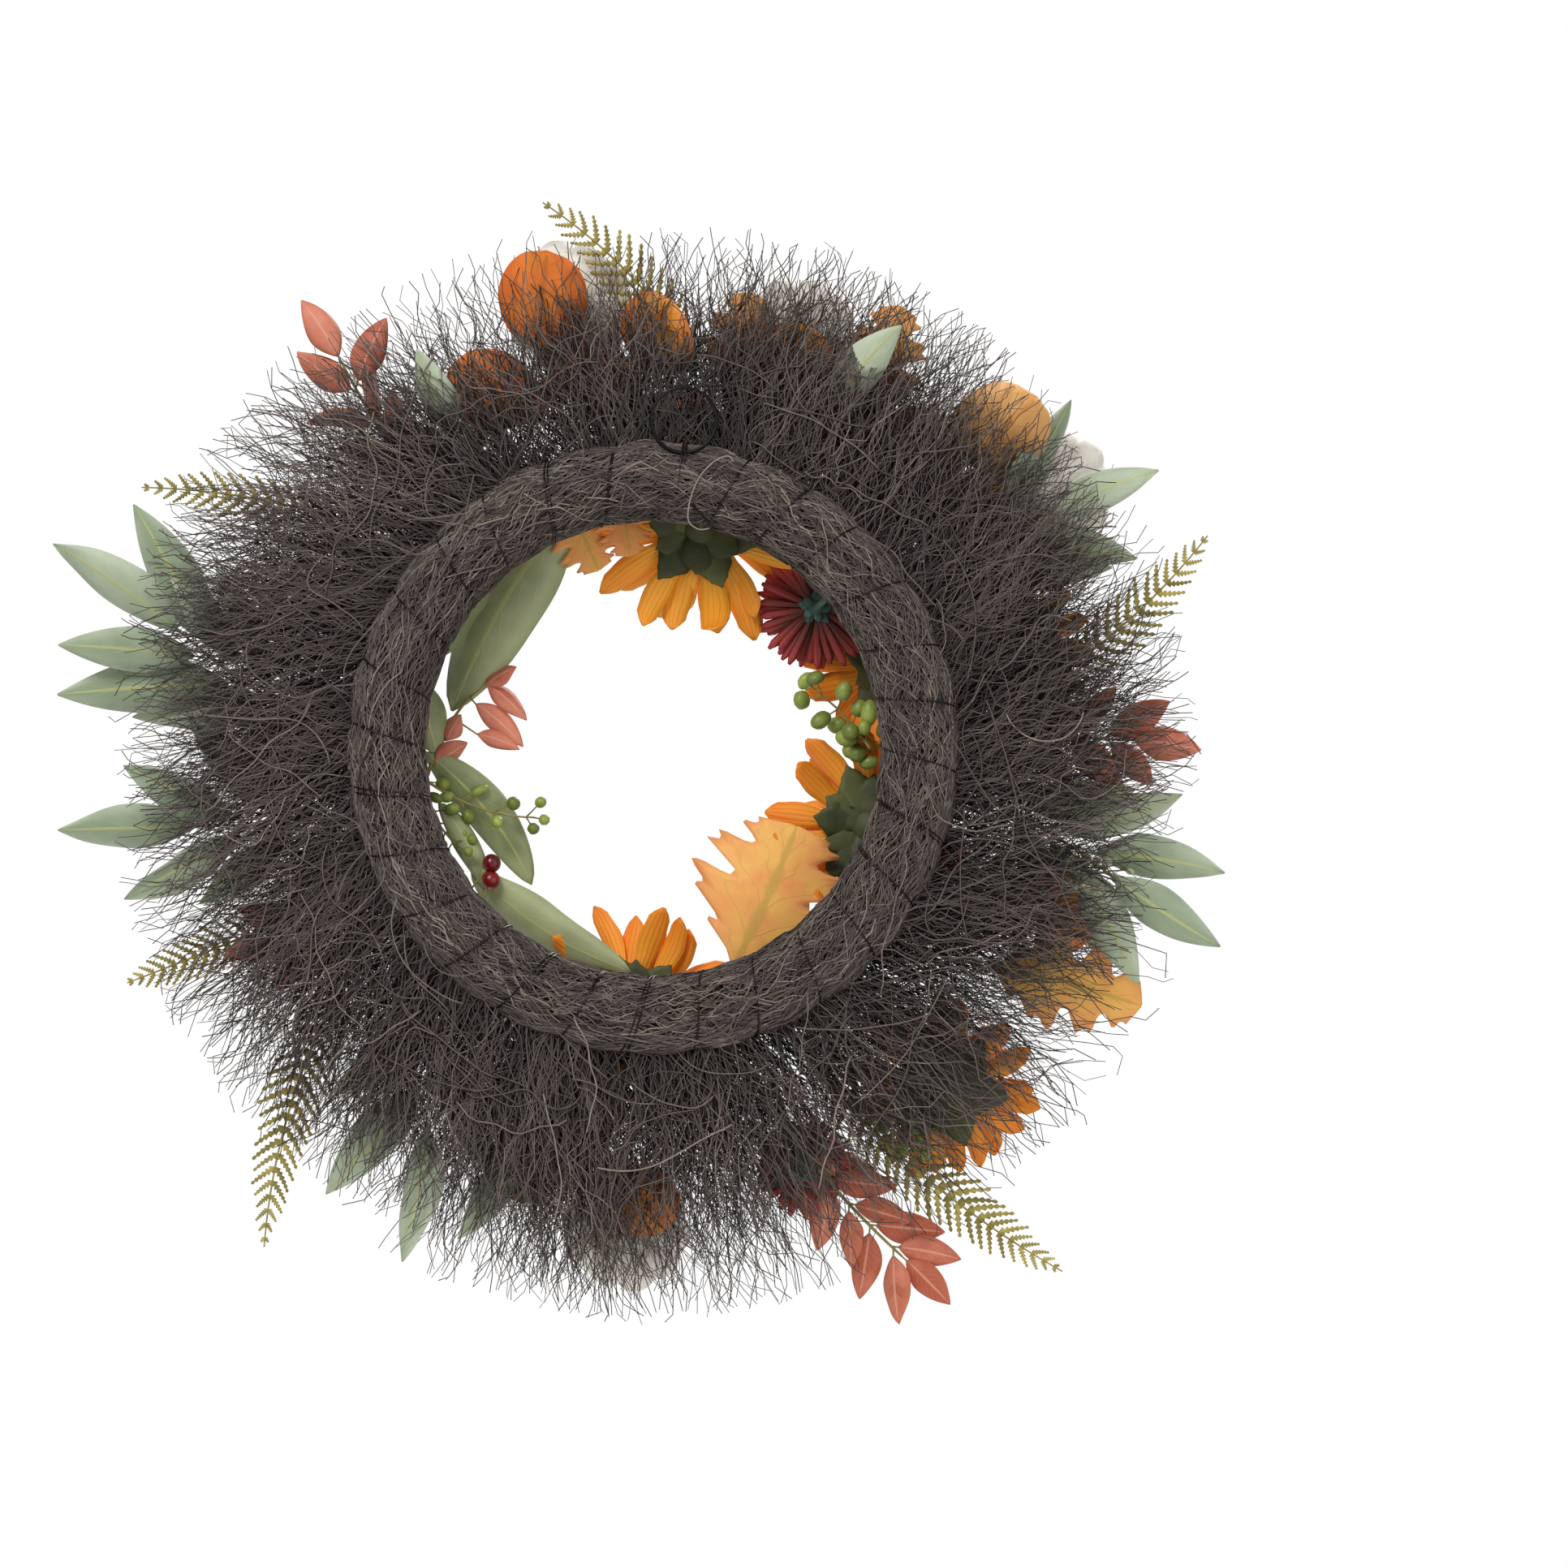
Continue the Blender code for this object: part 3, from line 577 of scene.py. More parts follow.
def grown(root, way, lift, step, reach):
    """Paths that are the running sum of equal steps in each heading, kept inside the reach."""
    steps = np.stack([-np.cos(way) * np.cos(lift) * step, -np.sin(lift) * step,
                      np.sin(way) * np.cos(lift) * step], axis=-1)
    steps[:, 0] = 0
    paths = root[:, None] + np.cumsum(steps, axis=1)
    ahead = RING_MIDDLE[1] - paths[..., 1]
    limit = BACK_LIMIT + HANGER_SWING * behind_hanger(paths)
    paths[..., 1] = RING_MIDDLE[1] - np.clip(ahead, limit, FRONT_LIMIT)
    offset = paths - RING_MIDDLE
    out = np.hypot(offset[..., 0], offset[..., 2])
    squeeze = np.where(out > reach, (reach + (out - reach) * 0.3) / np.maximum(out, 1e-6), 1.0)
    paths[..., 0] = RING_MIDDLE[0] + offset[..., 0] * squeeze
    paths[..., 2] = RING_MIDDLE[2] + offset[..., 2] * squeeze
    return paths, out


def loose_twigs(rng, start, reach):
    """Strands whose heading is a tuft's heading plus a bend and a wander along them."""
    tufts = LOOSE_TWIGS // TWIGS_IN_TUFT + 1

    def by_tuft(values, spread):
        """Each tuft's value for all its twigs, plus a little of each twig's own."""
        return np.repeat(values, TWIGS_IN_TUFT)[:LOOSE_TWIGS] + rng.normal(0, spread, LOOSE_TWIGS)

    share = np.clip(by_tuft(rng.normal(0.5, 0.22, tufts), 0.03), 0.02, 0.98)
    angle = start + BUNCH_ANGLE * share
    root = RING_RADIUS + rng.uniform(0.0, 0.018, LOOSE_TWIGS)
    layer = rng.uniform(0, 1, tufts)
    forward = by_tuft(-0.007 + 0.023 * layer, 0.0020)
    lean = np.interp(angle % 360, LEAN_PLACES, LEANS) + (share - 0.5) * 14
    heading = np.radians(angle + by_tuft(rng.normal(0, 12, tufts), 7.0) + lean)
    rise = by_tuft(rng.normal(0.0, 0.10, tufts), 0.06) + forward * SPLAY
    run = (reach - root) * np.clip(by_tuft(0.42 + 0.62 * rng.random(tufts) ** 0.8, 0.15), 0.2, 1.1)
    run = run / np.cos(np.radians(np.clip(np.degrees(heading) - angle, -45, 45)) * 0.8)
    bend = np.radians(by_tuft(rng.normal(0, 14, tufts), 14))[:, None]
    along = np.linspace(0, 1, LOOSE_STEPS)[None, :]
    kinks = wandering(rng, LOOSE_TWIGS, LOOSE_STEPS, (1, 2.4, 4.3, 6.1), 0.48)
    way = heading[:, None] + bend * along + kinks
    lift = rise[:, None] + wandering(rng, LOOSE_TWIGS, LOOSE_STEPS, (1, 2.7, 5.1), 0.22)
    step = (run / (LOOSE_STEPS - 1))[:, None]
    paths, out = grown(ring_places(angle, root, forward), way, lift, step, reach)
    thick = rng.uniform(*LOOSE_RADII, LOOSE_TWIGS)[:, None]
    radii = thick * (1 - 0.4 * along)
    tone = np.clip(by_tuft(rng.normal(0.46, 0.12, tufts), 0.17), 0, 1)[:, None] + 0.10 * along
    # Painted shade: twigs near the ring, in the middle layer and behind the hanging ring are coloured
    # darker.
    near = np.clip(1.15 - (out - RING_RADIUS) / ROOT_SHADE_REACH, 0, 1)
    deep = near * ROOT_SHADE + heart_share(paths) * HEART_SHADE + behind_hanger(paths) * HANGER_SHADE
    luck = np.repeat(rng.random(tufts), TWIGS_IN_TUFT)[:LOOSE_TWIGS]
    kept = luck < np.interp(angle % 360, THIN_PLACES, THIN_SHARES)
    return paths[kept], radii[kept], tone[kept], np.clip(deep, 0, DARKEST)[kept]


def heart_share(paths):
    """How much painted shade the middle layer gets: 1 there, falling to 0 at the back and front as a bell
    curve.
    """
    ahead = RING_MIDDLE[1] - paths[..., 1]
    return np.exp(-(((ahead - HEART_LAYER) / HEART_DEPTH) ** 2))


def stray_twigs(rng, start, reach):
    """A few long twigs that curl across the back of the others."""
    angle = start + BUNCH_ANGLE * rng.random(STRAY_TWIGS)
    root = RING_RADIUS + rng.uniform(0.0, 0.07, STRAY_TWIGS)
    along = np.linspace(0, 1, LOOSE_STEPS)[None, :]
    curl = rng.normal(0, 1.2, (STRAY_TWIGS, 1))
    turned_off = rng.choice((-STRAY_TURN, STRAY_TURN), STRAY_TWIGS) + rng.normal(0, 18, STRAY_TWIGS)
    heading = np.radians(angle + turned_off)
    way = heading[:, None] + curl * along + wandering(rng, STRAY_TWIGS, LOOSE_STEPS, (1, 2.6), 0.3)
    lift = np.zeros(way.shape)
    step = rng.uniform(*STRAY_LENGTHS, (STRAY_TWIGS, 1)) / (LOOSE_STEPS - 1)
    forward = np.where(root < RING_RADIUS + 0.022, -STRAY_ON_RING, -STRAY_ON_TWIGS)
    places = ring_places(angle, root, forward)
    paths, _ = grown(places, way, lift, step, reach)
    depth = places[:, None, 1] + wandering(rng, STRAY_TWIGS, LOOSE_STEPS, (1, 2), 0.0009)
    behind = behind_hanger(paths)
    lowest = RING_MIDDLE[1] - BACK_LIMIT - HANGER_SWING
    paths[..., 1] = np.where(behind > 0, np.minimum(depth, lowest), depth)
    radii = np.broadcast_to(rng.uniform(*STRAY_RADII, (STRAY_TWIGS, 1)), way.shape)
    tone = np.clip(rng.normal(0.62, 0.16, (STRAY_TWIGS, 1)), 0, 1) + 0 * along
    # Painted shade where a stray twig runs behind the hanging ring.
    return paths, radii, tone, behind * HANGER_SHADE


def bound_twigs(rng, start):
    """Strands that slant along the ring. They swell out at the back between turns of wire."""
    along = np.linspace(-0.5, 0.5, BOUND_STEPS)[None, :]
    middle = start + BUNCH_ANGLE * rng.random((BOUND_TWIGS, 1))
    span = rng.uniform(0.55, 1.25, (BOUND_TWIGS, 1)) * BUNCH_ANGLE
    angle = middle + span * along
    slant = rng.normal(6, 58, (BOUND_TWIGS, 1))
    tube = rng.uniform(0, 360, (BOUND_TWIGS, 1)) + slant * along
    tube = tube + wandering(rng, BOUND_TWIGS, BOUND_STEPS, (1, 2.1, 3.4), 7.0)
    turns = (angle - HANGER_ANGLE) / TURN_ANGLE - tube / 360.0
    swell = np.abs(np.sin(np.pi * turns)) ** 0.6
    back = np.clip(np.sin(np.radians(tube)), 0, 1)
    layer = rng.uniform(0, 1, (BOUND_TWIGS, 1)) ** 1.6 * BOUND_LAYERS
    out = BOUND_SURFACE + (BOUND_SWELL + BACK_SWELL * back) * swell - layer
    out = out + wandering(rng, BOUND_TWIGS, BOUND_STEPS, (1, 2.2), 0.0003)
    paths = section_places(angle, tube, out)
    radii = np.broadcast_to(rng.uniform(*BOUND_RADII, (BOUND_TWIGS, 1)), tube.shape)
    tone = np.clip(rng.normal(0.60, 0.24, (BOUND_TWIGS, 1)), 0, 1) + 0 * along
    # Painted shade: lower layers of stems, and stems pinched under the wire, are coloured darker.
    deep = np.clip(layer * 330 - 0.1, 0, 0.8) * 0.9 + 0.15 * (1 - swell)
    return paths, radii, tone, deep


def add_bunch(number, node):
    """All the twigs of one bunch, and a core painted as shade under its bound stems to hide the gaps."""
    rng = np.random.default_rng(100 + number)
    start = HANGER_ANGLE + number * BUNCH_ANGLE
    corners = np.empty(len(frame["nodes"][node].data.vertices) * 3, np.float32)
    frame["nodes"][node].data.vertices.foreach_get("co", corners)
    offset = corners.reshape(-1, 3) - RING_MIDDLE
    reach = float(np.hypot(offset[:, 0], offset[:, 2]).max())
    kinds = (loose_twigs(rng, start, reach), stray_twigs(rng, start, reach), bound_twigs(rng, start))
    parts = []
    for paths, radii, tone, deep in kinds:
        points, groups = tubes(paths, np.broadcast_to(radii, paths.shape[:2]), TWIG_SIDES, TO_THE_BACK)
        spread = [np.repeat(np.broadcast_to(v, paths.shape[:2]), TWIG_SIDES) for v in (tone, deep)]
        parts.append((points, groups, {"tone": spread[0], "deep": spread[1]}))
    # The core is a tube painted near black as the shade inside the bound stems.
    core = section_places(start + BUNCH_ANGLE * np.linspace(0, 1, CORE_STEPS)[None], 0.0, 0.0)
    points, groups = tubes(core, np.full((1, CORE_STEPS), STEM_BED), CORE_SIDES, (0.0, 1.0, 0.0))
    parts.append((points, groups, {"tone": np.zeros(len(points)), "deep": np.full(len(points), CORE_SHADE)}))
    points, groups, tones = joined(parts)
    add_piece(f"{node}_twigs", points, groups, TWIG, [node], tones=tones)


def add_pale_twig():
    """One long tan twig that curls over the ring just below the hanging ring."""
    place = np.linspace(0, 1, PALE_TWIG_STEPS)
    known = np.linspace(0, 1, len(PALE_TWIG_PLACES))
    angle, radius = (np.interp(place, known, column) for column in np.array(PALE_TWIG_PLACES).T)
    soft = np.hanning(2 * SMOOTHING + 1)
    soft = soft / soft.sum()
    angle, radius = (np.convolve(np.pad(values, SMOOTHING, "edge"), soft, "valid")
                     for values in (angle, radius))
    path = ring_places(angle, radius, -PALE_TWIG_BACK)
    radii = np.full((1, PALE_TWIG_STEPS), PALE_TWIG_RADIUS)
    points, groups = tubes(path[None], radii, 5, TO_THE_BACK)
    tones = {"tone": np.ones(len(points)), "deep": np.zeros(len(points))}
    add_piece("pale_twig", points, groups, TWIG, tones=tones)


for number, node in enumerate(BUNCHES):
    add_bunch(number, node)
add_pale_twig()
print(len(BUNCHES), "bunches of up to", LOOSE_TWIGS + STRAY_TWIGS + BOUND_TWIGS, "twigs")

# %% [markdown]
# ## Wires
#
# Dark annealed wire holds the wreath together: a hoop hidden in the middle, one long
# wire wound round the stems, a tie of two turns at the top, and the ring that hangs on
# the door hook. A wire is one round tube along a formula, which stays smooth at any
# distance. In some turns the real wire is doubled, so a few have a second strand.


# %% Wire finish
def screen(red, green, blue):
    """A colour given as it looks on a screen, from 0 to 255, as the amounts of light it sends."""
    parts = np.array([red, green, blue]) / 255
    light = np.where(parts < 0.04, parts / 12.92, ((parts + 0.055) / 1.055) ** 2.4)
    return tuple(float(part) for part in light)


def wire_finish(name, metallic, gloss, colours, shine=0.5):
    """A noise picks one of three colours, and a finer one roughens it by up to 0.3."""
    made = Finish(name, Metallic=metallic, Specular_IOR_Level=shine)
    scale = made.noise(220.0)
    colour = scale.ramp(*zip((0.3, 0.6, 0.8), colours))
    rough = made.noise(500.0) * 0.3 + gloss
    return made.finish(colour, made.noise(900.0), 0.0001, rough)


WIRE = wire_finish("dark annealed wire", 0.85, 0.22,
                   (screen(26, 23, 23), screen(46, 41, 40), screen(80, 66, 54)))
BLACK_WIRE = wire_finish("black varnished wire", 0.0, 0.25,
                         (screen(6, 6, 6), screen(9, 9, 9), screen(16, 15, 15)), 0.22)
print("made", WIRE.name, "and", BLACK_WIRE.name)

# %% [markdown]
# ## Winding the wires
#
# The binding wire turns once round the section for every half bunch it moves along the
# ring, so one spiral makes all its turns. It was wound by hand, so it drifts a little.
# The tie is the same spiral with almost no travel, and its ends are twisted into a
# tail. The hanging ring is two turns that lie side by side.

# %% The wires
BINDING_RADIUS = 0.00048
TURN_COUNT = 2 * len(BUNCHES)
DOUBLED_TURNS = ((0.56, 2.9), (7.1, 8.4), (12.2, 14.6), (19.3, 20.4), (25.1, 27.3))
PACKED_WIRE = 0.0012
HANGER_TURN = (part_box("hanger_ring")[1].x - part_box("hanger_ring")[0].x - PACKED_WIRE) / 2
HANGER_PITCH = 0.0015
HANGER_WIRE = 0.00085
TIE_RADIUS = 0.0005
TAIL_RADIUS = 0.00042
TAIL_TURNS = 6
FIRST_TURN = 0.56
STRAND_GAP = 0.045
STEPS_IN_TURN = 30


def add_wire(name, path, radius, nodes=(), body="wreath", sides=8, finish=WIRE):
    """One round tube along a path. Its reference direction is never along the path."""
    points, groups = tubes(path[None], np.full((1, len(path)), radius), sides, (0.31, 0.87, 0.38))
    return add_piece(name, points, groups, finish, nodes, body)


def wound(first, last, bed, wobble_seed):
    """A wire going round the section once for each turn it moves along the ring."""
    turn = np.linspace(first, last, int((last - first) * STEPS_IN_TURN))
    rng = np.random.default_rng(wobble_seed)
    drift = 0.9 * np.sin(turn * 1.7 + rng.random() * 6) + 0.5 * np.sin(turn * 4.3)
    sink = 0.0003 * np.sin(turn * 2 * np.pi * 3.3 + 1)
    return section_places(HANGER_ANGLE + TURN_ANGLE * turn + drift * 0.6, 360 * turn, bed + sink)


def tie_path():
    """Two turns round the section, pushed outwards over the foot of the hanging ring."""
    turn = np.linspace(FIRST_TURN, 3 - FIRST_TURN, 90)
    tube = 360 * turn
    near = np.maximum(0, np.cos(np.radians(tube - 45))) ** 24
    along = 0.0016 * (turn - 1.5)
    return section_places(HANGER_ANGLE + np.degrees(along / RING_RADIUS), tube, 0.0219 + 0.0024 * near)


def twist_path(phase):
    """One strand of the tie's twisted tail: a helix round a line that curls up off the ring."""
    along = np.linspace(0, 1, 60)
    middle = section_places(HANGER_ANGLE - 2.5 - 7 * along, 118 + 30 * along, 0.0232 + 0.003 * along ** 2)
    turn = 2 * np.pi * TAIL_TURNS * along + phase
    return middle + 0.0006 * np.stack([np.cos(turn), np.sin(turn), 0 * turn], axis=-1)


def hanger_path():
    """Two turns of a helix whose pitch is little more than the wire, standing on the hinge."""
    turn = np.linspace(0, 2, 150)
    angle = 2 * np.pi * turn
    loose = 1 - 0.035 * (turn > 1) * np.sin(np.pi * (turn - 1)) ** 2
    return np.stack([HANGER_TURN * loose * np.sin(angle), HANGER_PITCH * (turn - 1) / 2,
                     HANGER_TURN * (1 + loose * np.cos(angle))], axis=-1)


frame["nodes"]["wire_hoop"].data.materials.clear()
frame["nodes"]["wire_hoop"].data.materials.append(WIRE)
main_path = wound(FIRST_TURN, TURN_COUNT - FIRST_TURN, WIRE_BED, 1)
add_wire("binding_wire_round_ring", main_path, BINDING_RADIUS, ["binding_wire"])
for number, (first, last) in enumerate(DOUBLED_TURNS, 1):
    second = wound(first + STRAND_GAP, last + STRAND_GAP, WIRE_BED, number + 1)
    add_wire(f"binding_wire_second_strand_{number}", second, BINDING_RADIUS)
add_wire("hanger_tie_round_ring", tie_path(), TIE_RADIUS, ["hanger_tie_wire"])
for number, phase in enumerate((0.0, math.pi), 1):
    add_wire(f"hanger_tie_tail_{number}", twist_path(phase), TAIL_RADIUS, sides=6)
hanger_middle = -np.array([0, 0, HANGER_TURN * 2 - HANGER_WIRE])
add_wire("hanger_ring_wire", hanger_path() + hanger_middle, HANGER_WIRE, ["hanger_ring"], "hanger", 10,
         BLACK_WIRE)
print(TURN_COUNT, "turns of binding wire, hanging ring", round(2000 * HANGER_TURN, 1), "mm across")

# %% [markdown]
# ## Leaves and petals as bent strips
#
# A leaf, a petal, a sepal and a fern's leaflet are all the same thing: a strip that
# starts at its foot, follows a curved midrib, and is as wide at each step as its kind
# says. One function bends all the strips of a sprig at once. The width comes from a
# profile, a short list of widths from foot to tip that is read smoothly, or with
# corners where a leaf has teeth.


# %% Bent strips
def profile(places, widths, rows, smooth=True):
    """Width at each row: between listed places it eases along a cosine, or runs straight."""
    rows = np.asarray(rows)
    if not smooth:
        return np.interp(rows, places, widths)
    number = np.clip(np.searchsorted(places, rows, side="right") - 1, 0, len(places) - 2)
    places, widths = np.asarray(places), np.asarray(widths)
    share = (rows - places[number]) / (places[number + 1] - places[number])
    share = (1 - np.cos(np.pi * np.clip(share, 0, 1))) / 2
    return widths[number] * (1 - share) + widths[number + 1] * share


def lance(rows, fullest, sharpness):
    """A leaf that is widest at `fullest`: a sine of the place along it, raised to a power."""
    bent = np.where(rows < fullest, rows / fullest / 2, 0.5 + (rows - fullest) / (1 - fullest) / 2)
    return np.maximum(np.sin(np.pi * np.clip(bent, 0, 1)) ** sharpness, 0.02)


def strips(foot, along, face, length, width, shape, rows, columns=5, curl=0.0, sway=0.0,
           cup=0.0, fold=0.0, ripple=0.0, ripples=2.0, sweep=0.0, phase=0.0):
    """Grids (strip, row, column, xyz). The midrib is the running sum of steps whose
    direction turns by `curl` towards the face and by `sway` to the side. Across it, the
    edge is raised by cup times the square of the distance, by fold times the distance,
    and by a sine of the place along. Sweep pushes wide places towards the tip."""
    foot, along, face = (np.atleast_2d(np.asarray(v, float)) for v in (foot, along, face))
    count = max(len(foot), len(along), len(face))
    foot, along, face = (np.broadcast_to(v, (count, 3)) for v in (foot, along, face))
    along = unit(along)
    face = unit(face - along * np.sum(face * along, axis=1, keepdims=True))
    side = np.cross(along, face)

    def column_of(value):
        """One number for all the strips, or one for each, as a column."""
        return np.broadcast_to(np.asarray(value, float).reshape(-1, 1), (count, 1))

    length, width, curl, sway, cup, fold, ripple, phase = (
        column_of(v) for v in (length, width, curl, sway, cup, fold, ripple, phase))
    share = np.asarray(rows)[None, :]
    bend, turn = curl * share, sway * share
    way = (along[:, None] * (np.cos(bend) * np.cos(turn))[..., None]
           + face[:, None] * (np.sin(bend) * np.cos(turn))[..., None]
           + side[:, None] * np.sin(turn)[..., None])
    lift = (face[:, None] * np.cos(bend)[..., None] - along[:, None] * np.sin(bend)[..., None])
    step = np.diff(share, axis=1, prepend=0.0) * length
    middle = foot[:, None] + np.cumsum(way * step[..., None], axis=1)
    lateral = unit(np.cross(way, lift))
    half = width / 2 * shape[None, :]
    across = np.linspace(-1, 1, columns)
    flat = half[..., None] * across
    wave = np.sin(2 * np.pi * ripples * share + phase)[..., None] * np.abs(across)
    height = (cup[..., None] * flat ** 2 / np.maximum(width[..., None], 1e-6)
              + fold[..., None] * np.abs(flat) + (ripple * length)[..., None] * wave)
    forward = sweep * np.abs(flat)
    return (middle[:, :, None] + lateral[:, :, None] * flat[..., None]
            + lift[:, :, None] * height[..., None] + way[:, :, None] * forward[..., None])


def skin(grid, thickness, tone):
    """Strips with a thickness and one tone each, as a set for `joined`."""
    points, groups = sheets(grid, thickness)
    return points, groups, {"tone": np.repeat(tone, len(points) // len(grid))}


def rod(path, first, last, sides=6, tone=0.5):
    """One stem that tapers from its first radius to its last, as a set for `joined`."""
    points, groups = tubes(path[None], np.linspace(first, last, len(path))[None], sides, (0.2, 0.93, 0.3))
    return points, groups, {"tone": np.full(len(points), tone)}


def stem_line(base, tip, forward, steps=20, bow=0.0):
    """A stem from one (angle, radius) to another, bowed to the front by `bow` in its middle."""
    along = np.linspace(0, 1, steps)
    angle = base[0] + (tip[0] - base[0]) * along
    radius = base[1] + (tip[1] - base[1]) * along
    return ring_places(angle, radius, forward + bow * np.sin(np.pi * along))


FRONT = np.array([0.0, -1.0, 0.0])
OPENING = RING_RADIUS - 0.022
BOUND_EDGE = RING_RADIUS + 0.0246


def leaf_feet(stem, shares, spread):
    """Places along a stem, with directions that leave it by `spread` degrees to each side in turn."""
    place = np.clip(np.asarray(shares) * (len(stem) - 1), 0, len(stem) - 1.001)
    number = place.astype(int)
    ahead = unit(np.gradient(stem, axis=0))
    part = (place - number)[:, None]
    foot = stem[number] * (1 - part) + stem[number + 1] * part
    way = ahead[number]
    side = unit(np.cross(way, FRONT))
    turn = np.radians(np.asarray(spread))[:, None]
    return foot, unit(way * np.cos(turn) + side * np.sin(turn))


print("leaf helpers ready")

# %% [markdown]
# ## Leaf finishes
#
# The leaves are printed fabric. Every kind shares one recipe: a colour that drifts
# with the leaf's own tone and a soft noise, paler or darker towards the edge, a midrib
# and slanting side veins drawn from the leaf's own coordinates, and a fine weave in
# the bump. Only the colours and the spacing of the veins differ.


# %% Leaf finishes
def leaf_finish(name, low, high, vein, edge, side_veins, slant=2.2, vein_strength=0.75,
                vein_width=0.05, rough=0.62, blotch=26.0):
    """Side veins are a sine of the place along the leaf, less its place across it."""
    made = Finish(name)
    along, across = made.blade()
    drift = made.noise(blotch, 4.0) * 1.5 - 0.45 + (made.attribute("tone") - 0.5) * 0.9
    body = drift.ramp((0.12, low), (0.88, high))
    rim = (abs(across) ** 3.0) * made.noise(blotch * 2.2) * 1.3
    body = rim.between(body, edge)
    midrib = abs(across).below(vein_width * 1.6, vein_width)
    slanting = (along * side_veins - abs(across) * slant) * math.pi
    ribs = abs(slanting.wave()).below(vein_width * 2.2, vein_width * 1.8)
    fading = 1.0 - abs(across) * 0.75
    veins = midrib.math("MAXIMUM", midrib, ribs * fading * 0.8)
    colour = (veins * vein_strength).between(body, vein)
    threads = made.noise(1600.0, 2.0)
    height = threads * 0.35 + veins * 0.9
    return made.finish(colour, height, 0.00025, threads * 0.12 + (rough - 0.06))


SAGE = leaf_finish("sage fabric leaf", screen(132, 148, 120), screen(184, 195, 168), screen(176, 176, 112),
                   screen(196, 204, 182), side_veins=6.0, slant=2.4, vein_width=0.045)
RUST = leaf_finish("rust fabric leaf", screen(164, 78, 50), screen(216, 136, 112), screen(228, 168, 136),
                   screen(204, 118, 90), side_veins=9.0, vein_strength=0.45, blotch=60.0)
OAK = leaf_finish("gold and orange fabric leaf", screen(228, 140, 72), screen(232, 184, 86),
                  screen(190, 150, 60), screen(232, 148, 98), side_veins=5.0, slant=1.6, blotch=62.0)
ROUND = leaf_finish("thin orange fabric leaf", screen(222, 116, 34), screen(238, 166, 64),
                    screen(182, 98, 34), screen(224, 104, 34), side_veins=6.0, slant=1.0, blotch=44.0)
PALE = leaf_finish("pale apricot fabric leaf", screen(226, 160, 88), screen(244, 190, 122),
                   screen(222, 150, 80), screen(240, 184, 124), side_veins=5.0, slant=1.2, blotch=24.0)


def plant_finish(name, low, high, rough=0.6, size=90.0, bump=0.0003):
    """A moulded plant part: two colours drifting with its tone and a noise, and a fine grain."""
    made = Finish(name)
    drift = made.noise(size, 4.0) * 1.4 - 0.4 + (made.attribute("tone") - 0.5) * 0.8
    colour = drift.ramp((0.1, low), (0.9, high))
    roughness = made.noise(size * 4) * 0.2 + (rough - 0.1)
    return made.finish(colour, made.noise(size * 9.0), bump, roughness)


STEM = plant_finish("olive wrapped stem", screen(112, 104, 48), screen(158, 146, 84))
FERN = plant_finish("olive gold fern", screen(124, 112, 44), screen(182, 166, 82))
BUDS = plant_finish("green seed buds", screen(98, 112, 40), screen(164, 178, 84), 0.45, 60.0)
CREAM_BUDS = plant_finish("pale green seed buds", screen(150, 164, 116), screen(214, 218, 178), 0.5, 60.0)
RED = plant_finish("glossy red berry", screen(88, 12, 14), screen(160, 30, 26), 0.25, 120.0)
CALYX = plant_finish("moulded dark green calyx", screen(52, 58, 24), screen(96, 100, 46), 0.62, 50.0)
print("leaf and stem finishes ready")

# %% [markdown]
# ## Sprigs of leaves
#
# A sprig is a wired stem with leaves in pairs and one at its end. The stem's foot is
# pushed between the twigs, and its tip stands clear of them. A table gives each
# sprig's ends as an angle and a radius, and one function grows them all. The first
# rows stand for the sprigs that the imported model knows, and the rest fill the same
# front in the same way.


# %% Leaf shapes
LEAF_ROWS = np.linspace(0, 1, 21)
OAK_ROWS = np.linspace(0, 1, 41)
OAK_PLACES = (0, 0.05, 0.11, 0.16, 0.23, 0.29, 0.34, 0.39, 0.44, 0.50, 0.55, 0.61, 0.66, 0.71,
              0.76, 0.81, 0.86, 0.90, 0.95, 1.0)
OAK_WIDTHS = (0.04, 0.16, 0.58, 0.36, 0.86, 0.72, 1.0, 0.90, 0.50, 0.46, 0.92, 0.74, 0.84, 0.42,
              0.36, 0.64, 0.40, 0.44, 0.24, 0.03)
SHAPES = {
    "sage": lance(LEAF_ROWS, 0.40, 0.85),
    "magnolia": lance(LEAF_ROWS, 0.46, 0.62),
    "rust": lance(LEAF_ROWS, 0.40, 0.80),
    "round": lance(LEAF_ROWS, 0.48, 0.42),
}
LEAF_THICKNESS = 0.0005
LEAF_TILT = 0.35
FIRST_PAIR = 0.12
STALK_SHARE = 0.10
STALK_RADII = (0.0006, 0.0005)


def stalks_between(starts, ends, steps=3, radii=STALK_RADII):
    """A short straight stalk from each start to its end."""
    return [rod(np.linspace(start, end, steps), *radii, 5) for start, end in zip(starts, ends)]


